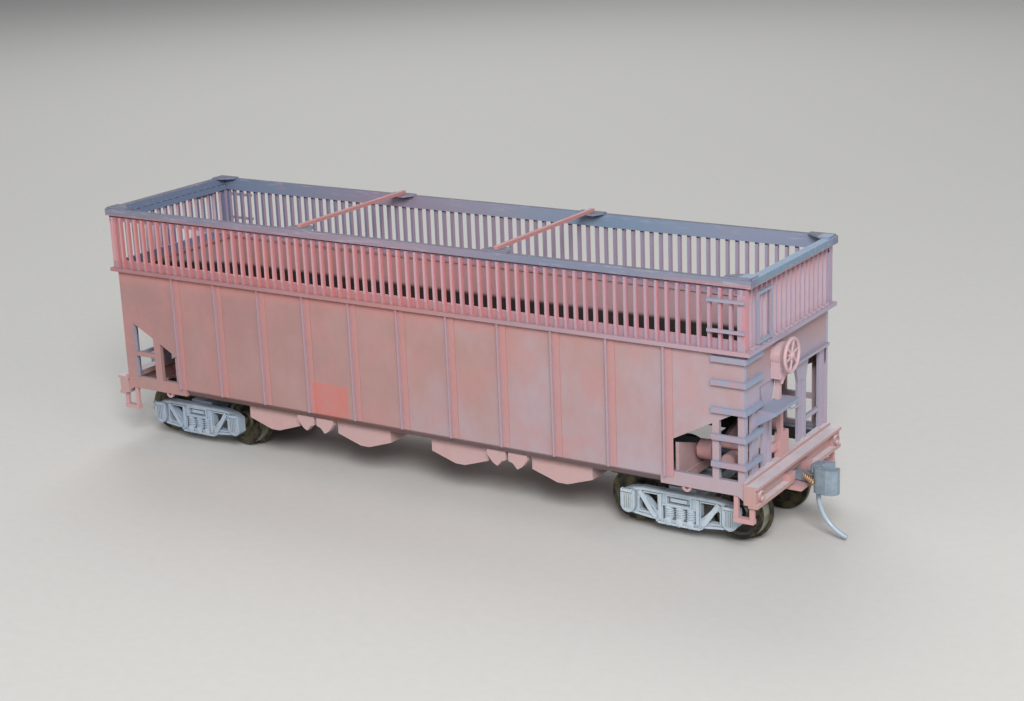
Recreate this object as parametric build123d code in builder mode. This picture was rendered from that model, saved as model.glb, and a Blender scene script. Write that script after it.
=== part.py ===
from build123d import *
import math
import os

# Open hopper wagon with slatted coke racks, a 1:87 scale model standing on its wheels.
# Millimetres. X runs along the wagon with end B, the brake end, at +X. Z is up and the
# table is at Z = 0. The right side is at -Y and the left side at +Y, facing end B.

# Body shell
body_length = 135.8
body_width = 33.4
sheet = 0.8
sheet_bottom = 12.6
hem_bottom = 11.3
hem_inset = 0.8
chord_z = 35.15

# Ribs on the side sheets
rib_count = 11
rib_pitch = 10.72
rib_web = 0.35
rib_proud = 0.6
rib_flange = 1.3
rib_flange_proud = 0.15

# Ends of the body, open below the slope sheets
web_x = 54.6
cut_z = 19.1
cut_rise = 0.52
sill_top = 13.6
side_sill_bottom = 11.2
end_sheet_bottom = 28.3
corner_drop = 25.2
slope_rise = 0.577
slope_sheet = 0.7

# Hopper bays
bay_centres = (-32.16, -10.72, 10.72, 32.16)
bay_half = 6.1
bay_top = 11.7
bay_end_z = 8.5
bay_floor_z = 6.85
bay_floor_half = 1.0
bay_side_y = 14.7
chute_wall = 0.6
door_thick = 0.5
ridge_apex = 16.3
ridge_wall = 0.7

# Centre sill and its hood
sill_half = 2.4
sill_bottom = 9.8
sill_roof = 12.6
sill_wall = 0.6
hood_apex = 15.5
centre_sill_end = 60.0

# Lower rail, racks and top rail; the rails reach out past the body by their overhangs
rail_overhang = 0.8
rail_end_overhang = 1.3
rail_inside = 1.1
rail_end_inside = 1.4
rail_thick = 0.7
band_thick = 0.6
band_height = 1.45
slat_width = 0.52
slat_thick = 0.7
slat_pitch = 1.907
end_slat_pitch = 1.85
corner_leg = 1.4
rack_end_inset = 0.2
top_rail_overhang = 0.5
top_rail_end_overhang = 1.5
top_rail_strip = 0.95
top_rail_end_strip = 1.6
top_rail_thick = 1.3
head_plate = 0.25
head_plate_height = 1.15
top_z = 47.6

# Gusset plates: half their length at a tie bar, length at a corner, straight edge and tip
gusset_thick = 0.3
gusset_reach = 3.1
gusset_half = 2.6
gusset_corner = 4.6
gusset_edge = 1.2
gusset_tip = 1.4
gusset_corner_tip = 2.0
gusset_inset = 0.2
gusset_end_inset = 0.3
tie_x = 21.4
tie_width = 0.8
tie_height = 0.6
tie_inset = 0.8

# Ends: platforms, posts, steps
platform_x = 70.5
platform_thick = 0.5
platform_z = 13.3
platform_half = body_width / 2 + 0.3
channel_thick = 0.6
channel_recess = 1.2
end_sill_bottom = 9.55
end_flange_thick = 0.7
curb_height = 0.5
post_y = 6.6
brake_post_y = 7.3
post_width = 3.3
rung_height = 0.95
rung_thick = 0.6
rung_bottoms = (15.85, 20.5, 25.1, 29.75, 33.7)
ladder_in_x = 62.2
ladder_in_y = 10.7
ladder_post = 2.5
stirrup_x = (65.9, 69.5)
stirrup_bottom = 6.6
stirrup_bar = 0.8

# Hand brake and air brake
brake_wheel_x = 70.35
brake_wheel_y = -4.7
brake_wheel_z = 32.4
brake_wheel_r = 3.1
brake_rim = 0.35
brake_step_z = 24.0
brake_step_y = (-11.8, -2.6)
brake_step_x = 71.2
step_thick = 0.6
tank_r = 1.35
tank_x = 62.6
tank_z = 14.85
tank_y = (-12.2, -4.0)

# Brake cylinder with its rod, in front of the bolster beside the ladder
cylinder_x = 56.4
cylinder_y = -9.3
cylinder_z = 15.5
cylinder_r = 1.7
cylinder_length = 2.6
rod_r = 0.55
rod_z = 16.8
rod_end_x = 66.4

# Control valve on the other side of the sill
valve_x = 57.0
valve_y = 5.4
valve_z = 16.4
valve_r = 1.9
valve_length = 4.2
valve_nose_r = 1.1
valve_nose = 2.6

# Trucks and wheelsets
truck_x = 53.85
wheelbase = 19.26
tread_r = 4.82
flange_r = 5.46
wheel_back = 7.2
wheel_face = 9.95
flange_thick = 0.75
axle_r = 0.85
axle_half = 11.6
axle_point_r = 0.3
journal_clear = 0.08
frame_outer_y = 12.6
frame_inner_y = 11.3
frame_top_z = 8.1
seat_z = 2.1
bolster_half = 2.6
bolster_top = 9.3
truck_gap = 0.3
kingpin_r = 1.1

# Draft boxes and couplers
draft_half = 3.1
draft_wall = 0.7
draft_bottom = 8.4
draft_top = 12.3
striker_half = 4.7
striker_top = 11.5
lip_front = 72.05
lip_half = 3.5
lip_thick = 0.75
ear_half = 4.7
coupler_pivot = 64.2
coupler_z = 10.0
shank_half = 0.85
shank_height = 1.3
pivot_r = 0.9
pivot_clear = 0.08
head_x = 72.6
knuckle_pin_x = 1.65
knuckle_pin_y = 1.4
knuckle_r = 0.85
trip_pin_r = 0.42

half_length = body_length / 2
half_width = body_width / 2
inner_half = half_width - sheet
inner_end = half_length - sheet
rail_width = body_width + 2 * rail_overhang
rail_length = body_length + 2 * rail_end_overhang
rail_top = chord_z + rail_thick
top_rail_width = body_width + 2 * top_rail_overhang
top_rail_length = body_length + 2 * top_rail_end_overhang
top_plate_z = top_z - top_rail_thick
axle_z = flange_r
sides = (("right", -1), ("left", 1))
ends = (("b", 1), ("a", -1))


def slab(x_range, y_range, z_range, mode=Mode.ADD):
    """A box that spans three ranges, given in either order."""
    lows = [min(r) for r in (x_range, y_range, z_range)]
    highs = [max(r) for r in (x_range, y_range, z_range)]
    middle = [(a + b) / 2 for a, b in zip(lows, highs)]
    with Locations(tuple(middle)):
        Box(*[b - a for a, b in zip(lows, highs)], mode=mode)


def side_profile(points, y_low, y_high, mode=Mode.ADD):
    """A plate from its outline in X and Z, between two Y values."""
    with BuildSketch(Plane.XZ.offset(-max(y_low, y_high))) as outline:
        Polygon(*points, align=None)
    extrude(outline.sketch, amount=abs(y_high - y_low), mode=mode)


def cross_profile(points, x_low, x_high, mode=Mode.ADD):
    """A bar from its outline in Y and Z, between two X values."""
    with BuildSketch(Plane.YZ.offset(min(x_low, x_high))) as outline:
        Polygon(*points, align=None)
    extrude(outline.sketch, amount=abs(x_high - x_low), mode=mode)


def clear_hem():
    """Cut the active part clear of both side sheets' canted hems."""
    for side in (-1, 1):
        hem_zone = [(side * inner_half, sheet_bottom), (side * (inner_half - hem_inset), hem_bottom),
                    (side * (inner_half - hem_inset), bay_end_z), (side * half_width, bay_end_z),
                    (side * half_width, sheet_bottom)]
        cross_profile(hem_zone, -half_length, half_length, mode=Mode.SUBTRACT)


def save(part, name):
    """Label a finished part and write it to its own file."""
    part.label = name
    export_step(part, f"parts/{name}.step")


def slope_top(x):
    """Height of the slope sheet's upper face, which falls from the end sheet's foot."""
    return end_sheet_bottom - (inner_end - abs(x)) * slope_rise


def cut_edge(x):
    """Height of the side sheet's slanted edge over the open end."""
    return cut_z + (abs(x) - web_x) * cut_rise


os.makedirs("parts", exist_ok=True)

# Side sheets: one plate each with the sill and posts of the open ends, and ribs outside
# Columns: end sign relative to the ladder end, then X of each post's two edges
ladder_posts = ((ladder_in_x, ladder_in_x + 1.2), (half_length - 1.1, half_length))
plain_posts = ((58.6, 60.3), (half_length - 2.6, half_length))
brace_z = 18.0
brace_height = 0.9

for side_name, side in sides:
    ladder_end = -side
    outer_y = side * half_width
    inner_y = side * inner_half
    with BuildPart() as side_sheet:
        side_profile(
            [(-half_length, chord_z), (half_length, chord_z), (half_length, cut_edge(half_length)),
             (web_x, cut_z), (web_x, sheet_bottom), (-web_x, sheet_bottom),
             (-web_x, cut_z), (-half_length, cut_edge(half_length))], inner_y, outer_y)
        for end, posts in ((ladder_end, ladder_posts), (-ladder_end, plain_posts)):
            side_profile(
                [(end * (web_x - 2), sill_top), (end * half_length, sill_top),
                 (end * half_length, side_sill_bottom - 0.8), (end * (half_length - 1.2), side_sill_bottom),
                 (end * (web_x - 2), side_sill_bottom)], inner_y, outer_y)
            for post in posts:
                slab((end * post[0], end * post[1]), (inner_y, outer_y), (sill_top - 0.1, cut_edge(post[1]) + 0.1))
        slab((-ladder_end * plain_posts[0][1], -ladder_end * plain_posts[1][0]), (inner_y, outer_y),
             (brace_z, brace_z + brace_height))
        cross_profile(
            [(outer_y, sheet_bottom), (inner_y, sheet_bottom), (inner_y - side * hem_inset, hem_bottom),
             (outer_y - side * hem_inset, hem_bottom)], 2 - web_x, web_x - 2)
        rib_middle = (sheet_bottom + chord_z) / 2
        flange_shift = -side * (rib_web + rib_flange) / 2
        for width, shift, proud in ((rib_web, 0, rib_proud), (rib_flange, flange_shift, rib_flange_proud)):
            with BuildSketch(Plane.XZ.offset(-outer_y)):
                with Locations((shift, rib_middle)):
                    with GridLocations(rib_pitch, 1, rib_count, 1):
                        Rectangle(width, chord_z - sheet_bottom)
            extrude(amount=-side * proud)
    save(side_sheet.part, f"side_sheet_{side_name}")

# End sheets with the ledge at their foot, lower at the ladder's corner
ledge_proud = 0.7
ledge_height = 0.5
corner_panel_y = 10.9

for end_name, end in ends:
    with BuildPart() as end_sheet:
        slab((end * inner_end, end * half_length), (-inner_half, inner_half), (end_sheet_bottom, chord_z))
        slab((end * inner_end, end * half_length), (-end * inner_half, -end * corner_panel_y),
             (corner_drop, end_sheet_bottom))
        slab((end * half_length, end * (half_length + ledge_proud)), (end * -2.0, end * inner_half),
             (end_sheet_bottom, end_sheet_bottom + ledge_height))
    save(end_sheet.part, f"end_sheet_{end_name}")

# Slope sheets, notched over the centre sill
slope_drop = slope_sheet * math.hypot(1, slope_rise)
bay_outer = bay_centres[-1] + bay_half

for end_name, end in ends:
    with BuildPart() as slope:
        side_profile(
            [(end * bay_outer, slope_top(bay_outer)), (end * inner_end, slope_top(inner_end)),
             (end * inner_end, slope_top(inner_end) - slope_drop),
             (end * bay_outer, slope_top(bay_outer) - slope_drop)], -inner_half, inner_half)
        slab((end * (bay_outer - 1), end * centre_sill_end), (-sill_half, sill_half), (sill_bottom, sill_roof),
             mode=Mode.SUBTRACT)
        clear_hem()
    save(slope.part, f"slope_sheet_{end_name}")

# Centre sill, an inverted channel with a hood over it inside the hopper
hood_outline = [(-sill_half, sill_roof), (sill_half, sill_roof), (0, hood_apex)]
hood_reach = inner_end - (end_sheet_bottom - hood_apex) / slope_rise + 1
roof_meets_slope = inner_end - (end_sheet_bottom - sill_roof) / slope_rise

with BuildPart() as centre_sill:
    slab((-centre_sill_end, centre_sill_end), (-sill_half, sill_half), (sill_bottom, sill_roof))
    slab((-centre_sill_end, centre_sill_end), (-sill_half + sill_wall, sill_half - sill_wall),
         (sill_bottom, sill_roof - sill_wall), mode=Mode.SUBTRACT)
    cross_profile(hood_outline, -hood_reach, hood_reach)
    for end in (-1, 1):
        side_profile(
            [(end * roof_meets_slope, sill_roof), (end * inner_end, end_sheet_bottom),
             (end * inner_end, sill_roof)], -sill_half, sill_half, mode=Mode.SUBTRACT)
save(centre_sill.part, "centre_sill")

# Cross ridges between the bays, cut away over the hood
ridge_half = bay_centres[1] - bay_centres[0] - 2 * bay_half
ridge_half = ridge_half / 2
ridge_drop = ridge_wall * math.hypot(1, (ridge_apex - bay_top) / ridge_half)

with BuildPart() as ridges:
    for ridge_x in [(a + b) / 2 for a, b in zip(bay_centres, bay_centres[1:])]:
        side_profile(
            [(ridge_x - ridge_half, bay_top), (ridge_x, ridge_apex), (ridge_x + ridge_half, bay_top),
             (ridge_x + ridge_half, bay_top - ridge_drop / 2), (ridge_x, ridge_apex - ridge_drop),
             (ridge_x - ridge_half, bay_top - ridge_drop / 2)], -inner_half, inner_half)
    slab((-bay_outer, bay_outer), (-sill_half, sill_half), (sill_bottom, sill_roof), mode=Mode.SUBTRACT)
    cross_profile(hood_outline, -bay_outer, bay_outer, mode=Mode.SUBTRACT)
    clear_hem()
save(ridges.part, "cross_ridges")

# Hopper chutes: a four-walled box each side of the centre sill, with V-shaped side plates
for number, centre in enumerate(bay_centres, 1):
    with BuildPart() as chute:
        for side in (-1, 1):
            plate = [(centre - bay_half, bay_top - 0.6), (centre + bay_half, bay_top - 0.6),
                     (centre + bay_half, bay_end_z), (centre + bay_floor_half, bay_floor_z),
                     (centre - bay_floor_half, bay_floor_z), (centre - bay_half, bay_end_z)]
            for plate_y in (bay_side_y, sill_half + chute_wall):
                side_profile(plate, side * plate_y, side * (plate_y - chute_wall))
            for wall_x in (centre - bay_half, centre + bay_half - chute_wall):
                slab((wall_x, wall_x + chute_wall), (side * sill_half, side * bay_side_y),
                     (bay_end_z, bay_top - 0.6))
    save(chute.part, f"hopper_chute_{number}")

# Hopper doors, two leaves in a shallow V under each half of a bay
door_fit = 0.05

with BuildPart() as doors:
    for centre in bay_centres:
        low = bay_half - chute_wall - door_fit
        z_end = bay_end_z + 0.3
        z_mid = bay_floor_z + 0.3
        for side in (-1, 1):
            side_profile(
                [(centre - low, z_end + door_thick), (centre, z_mid + door_thick),
                 (centre + low, z_end + door_thick), (centre + low, z_end), (centre, z_mid),
                 (centre - low, z_end)],
                side * (sill_half + chute_wall + door_fit), side * (bay_side_y - chute_wall - door_fit))
save(doors.part, "hopper_doors")

# Door latches: castings under the side sheets between bays 1 and 2, and 3 and 4
latch_reach = 4.2

with BuildPart() as latches:
    for latch_x in (-2 * rib_pitch, 2 * rib_pitch):
        for side in (-1, 1):
            for step in (-1, 1):
                outline = [(latch_x + step * 0.3, hem_bottom), (latch_x + step * latch_reach, hem_bottom),
                           (latch_x + step * latch_reach, 10.2), (latch_x + step * 3.0, 8.8),
                           (latch_x + step * 2.1, 8.3), (latch_x + step * 1.2, 9.3),
                           (latch_x + step * 0.3, 9.6)]
                side_profile(outline, side * (bay_side_y - 0.3), side * (inner_half - hem_inset + 0.6))
save(latches.part, "door_latches")

# Side sills, an angle inside the foot of each side sheet over the trucks
sill_start = inner_end - (end_sheet_bottom - sheet_bottom - 0.5 - slope_drop) / slope_rise
sill_leg = 1.7
sill_leg_thick = 0.7
sill_leg_bottom = 10.7
leg_out_y = inner_half - sill_leg + sill_leg_thick
leg_in_y = inner_half - sill_leg

with BuildPart() as side_sills:
    for side in (-1, 1):
        for end in (-1, 1):
            slab((end * sill_start, end * (half_length - 1.6)), (side * leg_in_y, side * leg_out_y),
                 (sill_leg_bottom, sheet_bottom + 0.3))
            slab((end * sill_start, end * (half_length - 1.6)), (side * leg_in_y, side * inner_half),
                 (sheet_bottom, sheet_bottom + 0.3))
save(side_sills.part, "side_sills")

# Body bolsters: a cross web up to the slope sheet, a beam and a centre plate
beam_half = 2.0
beam_bottom = 10.9
web_thick = 0.6
web_side_z = 18.5
web_middle_z = 14.05
web_low_x = truck_x + 1.2
bolster_web = [(-inner_half, sill_roof), (inner_half, sill_roof), (inner_half, web_side_z),
               (sill_half, web_middle_z), (-sill_half, web_middle_z), (-inner_half, web_side_z)]

for end_name, end in ends:
    with BuildPart() as bolster:
        cross_profile(bolster_web, end * web_low_x, end * (web_low_x + web_thick))
        for side in (-1, 1):
            slab((end * web_low_x, end * (web_low_x + web_thick)), (side * leg_in_y, side * inner_half),
                 (sill_roof, sheet_bottom + 0.3), mode=Mode.SUBTRACT)
        slab((end * (truck_x - beam_half), end * (truck_x + beam_half)), (sill_half, inner_half - 1.7),
             (beam_bottom, sill_roof))
        slab((end * (truck_x - beam_half), end * (truck_x + beam_half)), (-sill_half, 1.7 - inner_half),
             (beam_bottom, sill_roof))
        with Locations((end * truck_x, 0, (bolster_top + truck_gap + sill_bottom) / 2)):
            Cylinder(2.4, sill_bottom - bolster_top - truck_gap)
        slab((end * (truck_x - beam_half), end * (truck_x + beam_half)), (-sill_half + sill_wall, sill_half - sill_wall),
             (sill_bottom, sill_roof - sill_wall))
        with Locations((end * truck_x, 0, sill_bottom)):
            Cylinder(kingpin_r + 0.05, 6, mode=Mode.SUBTRACT)
    save(bolster.part, f"bolster_{end_name}")

# End sills: platform, channel with its flange, curb under the posts, poling pockets
# The channel's web and flange are open in the middle for the striker and the coupler's shank
pocket_y = platform_half - 1.7
pocket_z = 11.4
pocket_r = 0.95
end_block = 2.4
web_face = platform_x - channel_recess
flange_face = platform_x - 0.1
flange_top = end_sill_bottom + end_flange_thick
shank_gap = draft_half - draft_wall
shank_roof = coupler_z + shank_height / 2 + 0.3

for end_name, end in ends:
    with BuildPart() as end_sill:
        slab((end * half_length, end * platform_x), (-platform_half, platform_half),
             (platform_z - platform_thick, platform_z))
        slab((end * (half_length - 0.7), end * (half_length)), (-inner_half, inner_half),
             (sill_roof, platform_z + curb_height))
        slab((end * half_length, end * (half_length + 0.5)), (-platform_half, platform_half),
             (platform_z - platform_thick, platform_z + curb_height))
        slab((end * (web_face - channel_thick), end * web_face), (-platform_half, platform_half),
             (end_sill_bottom, platform_z))
        slab((end * (web_face - channel_thick), end * flange_face), (-platform_half, platform_half),
             (end_sill_bottom, flange_top))
        for side in (-1, 1):
            slab((end * half_length, end * (platform_x - 0.4)), (side * (platform_half - end_block), side * platform_half),
                 (end_sill_bottom + 0.4, platform_z))
            with BuildSketch(Plane.YZ.offset(end * (platform_x - 0.4))):
                with Locations((side * pocket_y, pocket_z)):
                    Circle(pocket_r)
                    Circle(pocket_r - 0.35, mode=Mode.SUBTRACT)
            extrude(amount=end * 0.4)
            slab((end * half_length, end * platform_x), (side * shank_gap, side * striker_half),
                 (flange_top, striker_top), mode=Mode.SUBTRACT)
        slab((end * half_length, end * platform_x), (-shank_gap, shank_gap), (end_sill_bottom - 1, shank_roof),
             mode=Mode.SUBTRACT)
    save(end_sill.part, f"end_sill_{end_name}")

# Open end frames: posts from the curb to the end sheet, the ladder's inner post and cross bars
# A post's flanges end below its flared head, which starts lower and meets the end sheet
post_x = (inner_end, inner_end + 0.5)
post_top = end_sheet_bottom - 1.8
flare_foot = end_sheet_bottom - 3.8
flare_out = 1.2
far_bar_z = 17.2

for end_name, end in ends:
    near = -end
    foot = platform_z + curb_height
    x_span = (end * post_x[0], end * post_x[1])
    with BuildPart() as end_frame:
        for y in (end * -brake_post_y, end * post_y):
            for edge in (-1, 1):
                slab(x_span, (y + edge * post_width / 2, y + edge * (post_width / 2 - 0.9)), (foot, post_top))
            slab((end * post_x[0], end * (post_x[1] - 0.3)), (y - post_width / 2, y + post_width / 2), (foot, post_top))
            with BuildSketch(Plane.YZ.offset(end * post_x[0])):
                Polygon((y - post_width / 2, flare_foot), (y + post_width / 2, flare_foot),
                        (y + post_width / 2 + flare_out, end_sheet_bottom),
                        (y - post_width / 2 - flare_out, end_sheet_bottom), align=None)
            extrude(amount=end * 0.5)
        slab(x_span, (near * ladder_in_y, near * (ladder_in_y + ladder_post)), (foot, corner_drop))
        slab(x_span, (near * (inner_half - 1.2), near * inner_half), (foot, corner_drop))
        slab(x_span, (-near * (inner_half - 2.2), -near * inner_half), (foot, end_sheet_bottom))
        slab(x_span, (-near * (post_y + post_width / 2), -near * (inner_half - 2.2)), (far_bar_z - 0.4, far_bar_z + 0.4))
    save(end_frame.part, f"end_frame_{end_name}")

# Lower rail round the top of the body
with BuildPart() as lower_rail:
    with BuildSketch(Plane.XY.offset(chord_z)):
        Rectangle(rail_length, rail_width)
        Rectangle(body_length - 2 * rail_end_inside, body_width - 2 * rail_inside, mode=Mode.SUBTRACT)
    extrude(amount=rail_thick)
save(lower_rail.part, "lower_rail")

# Racks: upright slats on a low band, fastened to the outside of a plate under the top rail
band_out = top_rail_width / 2 - slat_thick
band_end = half_length - rack_end_inset
band_in = band_out - band_thick
corner_x = band_end + slat_thick
slat_top = top_plate_z
slat_middle = (rail_top + slat_top) / 2
head_plate_z = slat_top - head_plate_height
side_slats = 2 * int((corner_x - corner_leg - slat_width / 2) / slat_pitch + 0.5)
end_slats = 1 + 2 * int((band_in - slat_width / 2) / end_slat_pitch)

for side_name, side in sides:
    with BuildPart() as rack:
        slab((-band_end, band_end), (side * band_in, side * band_out), (rail_top, rail_top + band_height))
        slab((-band_end, band_end), (side * (band_out - head_plate), side * band_out), (head_plate_z, slat_top))
        with BuildSketch(Plane.XZ.offset(-side * band_out)):
            with Locations((0, slat_middle)):
                with GridLocations(slat_pitch, 1, side_slats, 1):
                    Rectangle(slat_width, slat_top - rail_top)
        extrude(amount=-side * slat_thick)
        for end in (-1, 1):
            slab((end * (corner_x - corner_leg), end * corner_x), (side * band_out, side * (band_out + slat_thick)),
                 (rail_top, slat_top))
            slab((end * band_end, end * corner_x), (side * (band_out + slat_thick - corner_leg), side * band_out),
                 (rail_top, slat_top))
    save(rack.part, f"rack_side_{side_name}")

for end_name, end in ends:
    with BuildPart() as rack:
        slab((end * (band_end - band_thick), end * band_end), (-band_in, band_in), (rail_top, rail_top + band_height))
        slab((end * (band_end - head_plate), end * band_end), (-band_in, band_in), (head_plate_z, slat_top))
        with BuildSketch(Plane.YZ.offset(end * band_end)):
            with Locations((0, slat_middle)):
                with GridLocations(end_slat_pitch, 1, end_slats, 1):
                    Rectangle(slat_width, slat_top - rail_top)
        extrude(amount=end * slat_thick)
    save(rack.part, f"rack_end_{end_name}")

# Top rail, wider across the ends, with gusset plates inside its corners and under the tie bars
gusset_x = top_rail_length / 2 - gusset_end_inset
gusset_y = top_rail_width / 2 - gusset_inset
gusset_end_y = gusset_y - gusset_reach
tie_gusset = [(tie_x - gusset_half, gusset_y), (tie_x + gusset_half, gusset_y),
              (tie_x + gusset_half, gusset_y - gusset_edge), (tie_x + gusset_tip, gusset_end_y),
              (tie_x - gusset_tip, gusset_end_y), (tie_x - gusset_half, gusset_y - gusset_edge)]
corner_gusset = [(gusset_x, gusset_y), (gusset_x - gusset_corner, gusset_y),
                 (gusset_x - gusset_corner, gusset_y - gusset_edge),
                 (gusset_x - gusset_corner_tip, gusset_end_y), (gusset_x, gusset_end_y)]

with BuildPart() as top_rail:
    with BuildSketch(Plane.XY.offset(top_plate_z)):
        Rectangle(top_rail_length, top_rail_width)
        Rectangle(top_rail_length - 2 * top_rail_end_strip, top_rail_width - 2 * top_rail_strip, mode=Mode.SUBTRACT)
    extrude(amount=top_rail_thick)
    with BuildSketch(Plane.XY.offset(top_z)):
        for side in (-1, 1):
            for end in (-1, 1):
                for outline in (tie_gusset, corner_gusset):
                    Polygon(*[(end * x, side * y) for x, y in outline], align=None)
    extrude(amount=gusset_thick)
save(top_rail.part, "top_rail")

# Tie bars across the rack
for end_name, end in ends:
    with BuildPart() as tie:
        slab((end * tie_x - tie_width / 2, end * tie_x + tie_width / 2),
             (tie_inset - top_rail_width / 2, top_rail_width / 2 - tie_inset),
             (top_z + gusset_thick, top_z + gusset_thick + tie_height))
    save(tie.part, f"tie_bar_{end_name}")

# Ladder rungs that wrap each ladder corner, one side leg and one end leg to a level
for ladder_name, side, end in (("right_b", -1, 1), ("left_a", 1, -1)):
    with BuildPart() as rungs:
        for bottom in rung_bottoms:
            z_span = (bottom, bottom + rung_height)
            slab((end * ladder_in_x, end * half_length), (side * half_width, side * (half_width + rung_thick)), z_span)
            slab((end * half_length, end * (half_length + rung_thick)),
                 (side * ladder_in_y, side * (half_width + rung_thick)), z_span)
    save(rungs.part, f"ladder_{ladder_name}")

# Grab irons on the rack at the ladder corners
grab_bar = 0.5
grab_face_y = band_out + slat_thick
grab_in_x = half_length - 6.1
grab_z = (rail_top + 3.15, top_plate_z - 2.3)
grab_end_z = (rail_top + 0.65, top_plate_z - 1.7)
grab_end_y = (half_width - 8.4, half_width - 3.5)

for end_name, end, side in (("b", 1, -1), ("a", -1, 1)):
    with BuildPart() as grabs:
        for z in grab_z:
            slab((end * grab_in_x, end * corner_x), (side * grab_face_y, side * (grab_face_y + grab_bar)),
                 (z - grab_bar / 2, z + grab_bar / 2))
        for z in grab_end_z:
            slab((end * corner_x, end * (corner_x + grab_bar)), (side * grab_end_y[0], side * grab_end_y[1]),
                 (z - grab_bar / 2, z + grab_bar / 2))
        for y in grab_end_y:
            slab((end * corner_x, end * (corner_x + grab_bar)), (side * (y - grab_bar / 2), side * (y + grab_bar / 2)),
                 (grab_end_z[0] - grab_bar / 2, grab_end_z[1] + grab_bar / 2))
    save(grabs.part, f"rack_grabs_{end_name}")

# Stirrup steps hung from the side sills at the four corners
with BuildPart() as stirrups:
    for side in (-1, 1):
        for end in (-1, 1):
            y_span = (side * inner_half, side * (inner_half + 0.6))
            for x, z in ((stirrup_x[0], side_sill_bottom), (stirrup_x[1] - stirrup_bar, end_sill_bottom)):
                slab((end * x, end * (x + stirrup_bar)), y_span, (stirrup_bottom, z))
            slab((end * stirrup_x[0], end * stirrup_x[1]), (side * (inner_half - 0.3), side * (inner_half + 0.8)),
                 (stirrup_bottom, stirrup_bottom + stirrup_bar))
save(stirrups.part, "step_stirrups")

# Roping eyes under the side sills beside the bolsters
with BuildPart() as eyes:
    for side in (-1, 1):
        for end in (-1, 1):
            with BuildSketch(Plane.XZ.offset(-side * (inner_half + (0.6 if side > 0 else 0)))):
                with Locations((end * 57.3, side_sill_bottom - 0.1)):
                    Circle(0.85)
                    Circle(0.4, mode=Mode.SUBTRACT)
            extrude(amount=0.6)
    slab((-half_length, half_length), (-half_width, half_width), (side_sill_bottom, sill_top), mode=Mode.SUBTRACT)
save(eyes.part, "roping_eyes")

# Hand brake: rim, spokes and hub of the wheel, its gear box and shaft
with BuildPart() as brake_wheel:
    with BuildSketch(Plane.YZ.offset(brake_wheel_x)):
        with Locations((brake_wheel_y, brake_wheel_z)):
            Circle(brake_wheel_r)
            Circle(brake_wheel_r - 2 * brake_rim, mode=Mode.SUBTRACT)
    extrude(amount=0.7)
    with BuildSketch(Plane.YZ.offset(brake_wheel_x + 0.1)):
        with Locations((brake_wheel_y, brake_wheel_z)):
            Circle(0.8)
            with PolarLocations(brake_wheel_r / 2, 6):
                Rectangle(brake_wheel_r - brake_rim, 0.45)
    extrude(amount=0.4)
    with BuildSketch(Plane.YZ.offset(brake_wheel_x - 0.8)):
        with Locations((brake_wheel_y, brake_wheel_z)):
            Circle(0.5)
    extrude(amount=1.6)
save(brake_wheel.part, "brake_wheel")

gear_r = 2.15
gear_drop = 3.4

with BuildPart() as gear_box:
    with BuildSketch(Plane.YZ.offset(half_length)):
        with Locations((brake_wheel_y, brake_wheel_z)):
            Circle(gear_r)
        with Locations((brake_wheel_y, brake_wheel_z - gear_r)):
            Rectangle(2 * gear_r - 0.5, gear_drop)
    extrude(amount=brake_wheel_x - 0.8 - half_length)
    slab((half_length, half_length + 0.8), (brake_wheel_y - 0.5, brake_wheel_y + 0.5),
         (brake_step_z + step_thick, brake_wheel_z - gear_r))
save(gear_box.part, "brake_gear_box")

with BuildPart() as brake_step:
    slab((inner_end + 0.5, brake_step_x), brake_step_y, (brake_step_z, brake_step_z + step_thick))
    for y in (brake_step_y[0], brake_step_y[1] - 3.5):
        side_profile([(inner_end + 0.5, brake_step_z), (brake_step_x, brake_step_z),
                      (inner_end + 0.5, brake_step_z - 2.3)], y, y + step_thick)
save(brake_step.part, "brake_step")

# Second post beside the brake wheel's, wider over its foot on the curb and tied to the frame
foot_y = (-3.7, -0.4)
foot_top = 18.2
staff_y = (-3.7, -2.6)
tie_z = (15.4, 16.8)

with BuildPart() as brake_post:
    slab((half_length - 0.7, half_length + 0.4), foot_y, (platform_z + curb_height, foot_top))
    fillet(brake_post.edges().filter_by(Axis.X).group_by(Axis.Z)[-1], 0.6)
    slab((half_length - 0.3, half_length + 0.4), staff_y, (foot_top - 1, brake_step_z))
    slab((half_length - 0.6, half_length), (post_width / 2 - brake_post_y, foot_y[0]), tie_z)
save(brake_post.part, "brake_post")

# Air tank on a bracket over the draft box, brake cylinder and rod on the bolster's web, and
# the control valve hung by a strap from the underside of the slope sheet
with BuildPart() as air_tank:
    with BuildSketch(Plane.XZ.offset(-tank_y[1])):
        with Locations((tank_x, tank_z)):
            Circle(tank_r)
    extrude(amount=tank_y[1] - tank_y[0])
    fillet(air_tank.edges().filter_by(GeomType.CIRCLE), 0.5)
    slab((tank_x - 0.6, tank_x + 0.6), (tank_y[1] - 1, -draft_half + 1), (draft_top, tank_z - 0.4))
save(air_tank.part, "air_tank")

# Columns: X of the two ends, radius, height of the axis
cylinder_steps = ((web_low_x + web_thick, cylinder_x, rod_r, cylinder_z),
                  (cylinder_x, cylinder_x + cylinder_length, cylinder_r, cylinder_z),
                  (cylinder_x + cylinder_length, rod_end_x, rod_r, rod_z))

with BuildPart() as brake_cylinder:
    for x_low, x_high, radius, z in cylinder_steps:
        with BuildSketch(Plane.YZ.offset(x_low)):
            with Locations((cylinder_y, z)):
                Circle(radius)
        extrude(amount=x_high - x_low)
save(brake_cylinder.part, "brake_cylinder")

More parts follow.
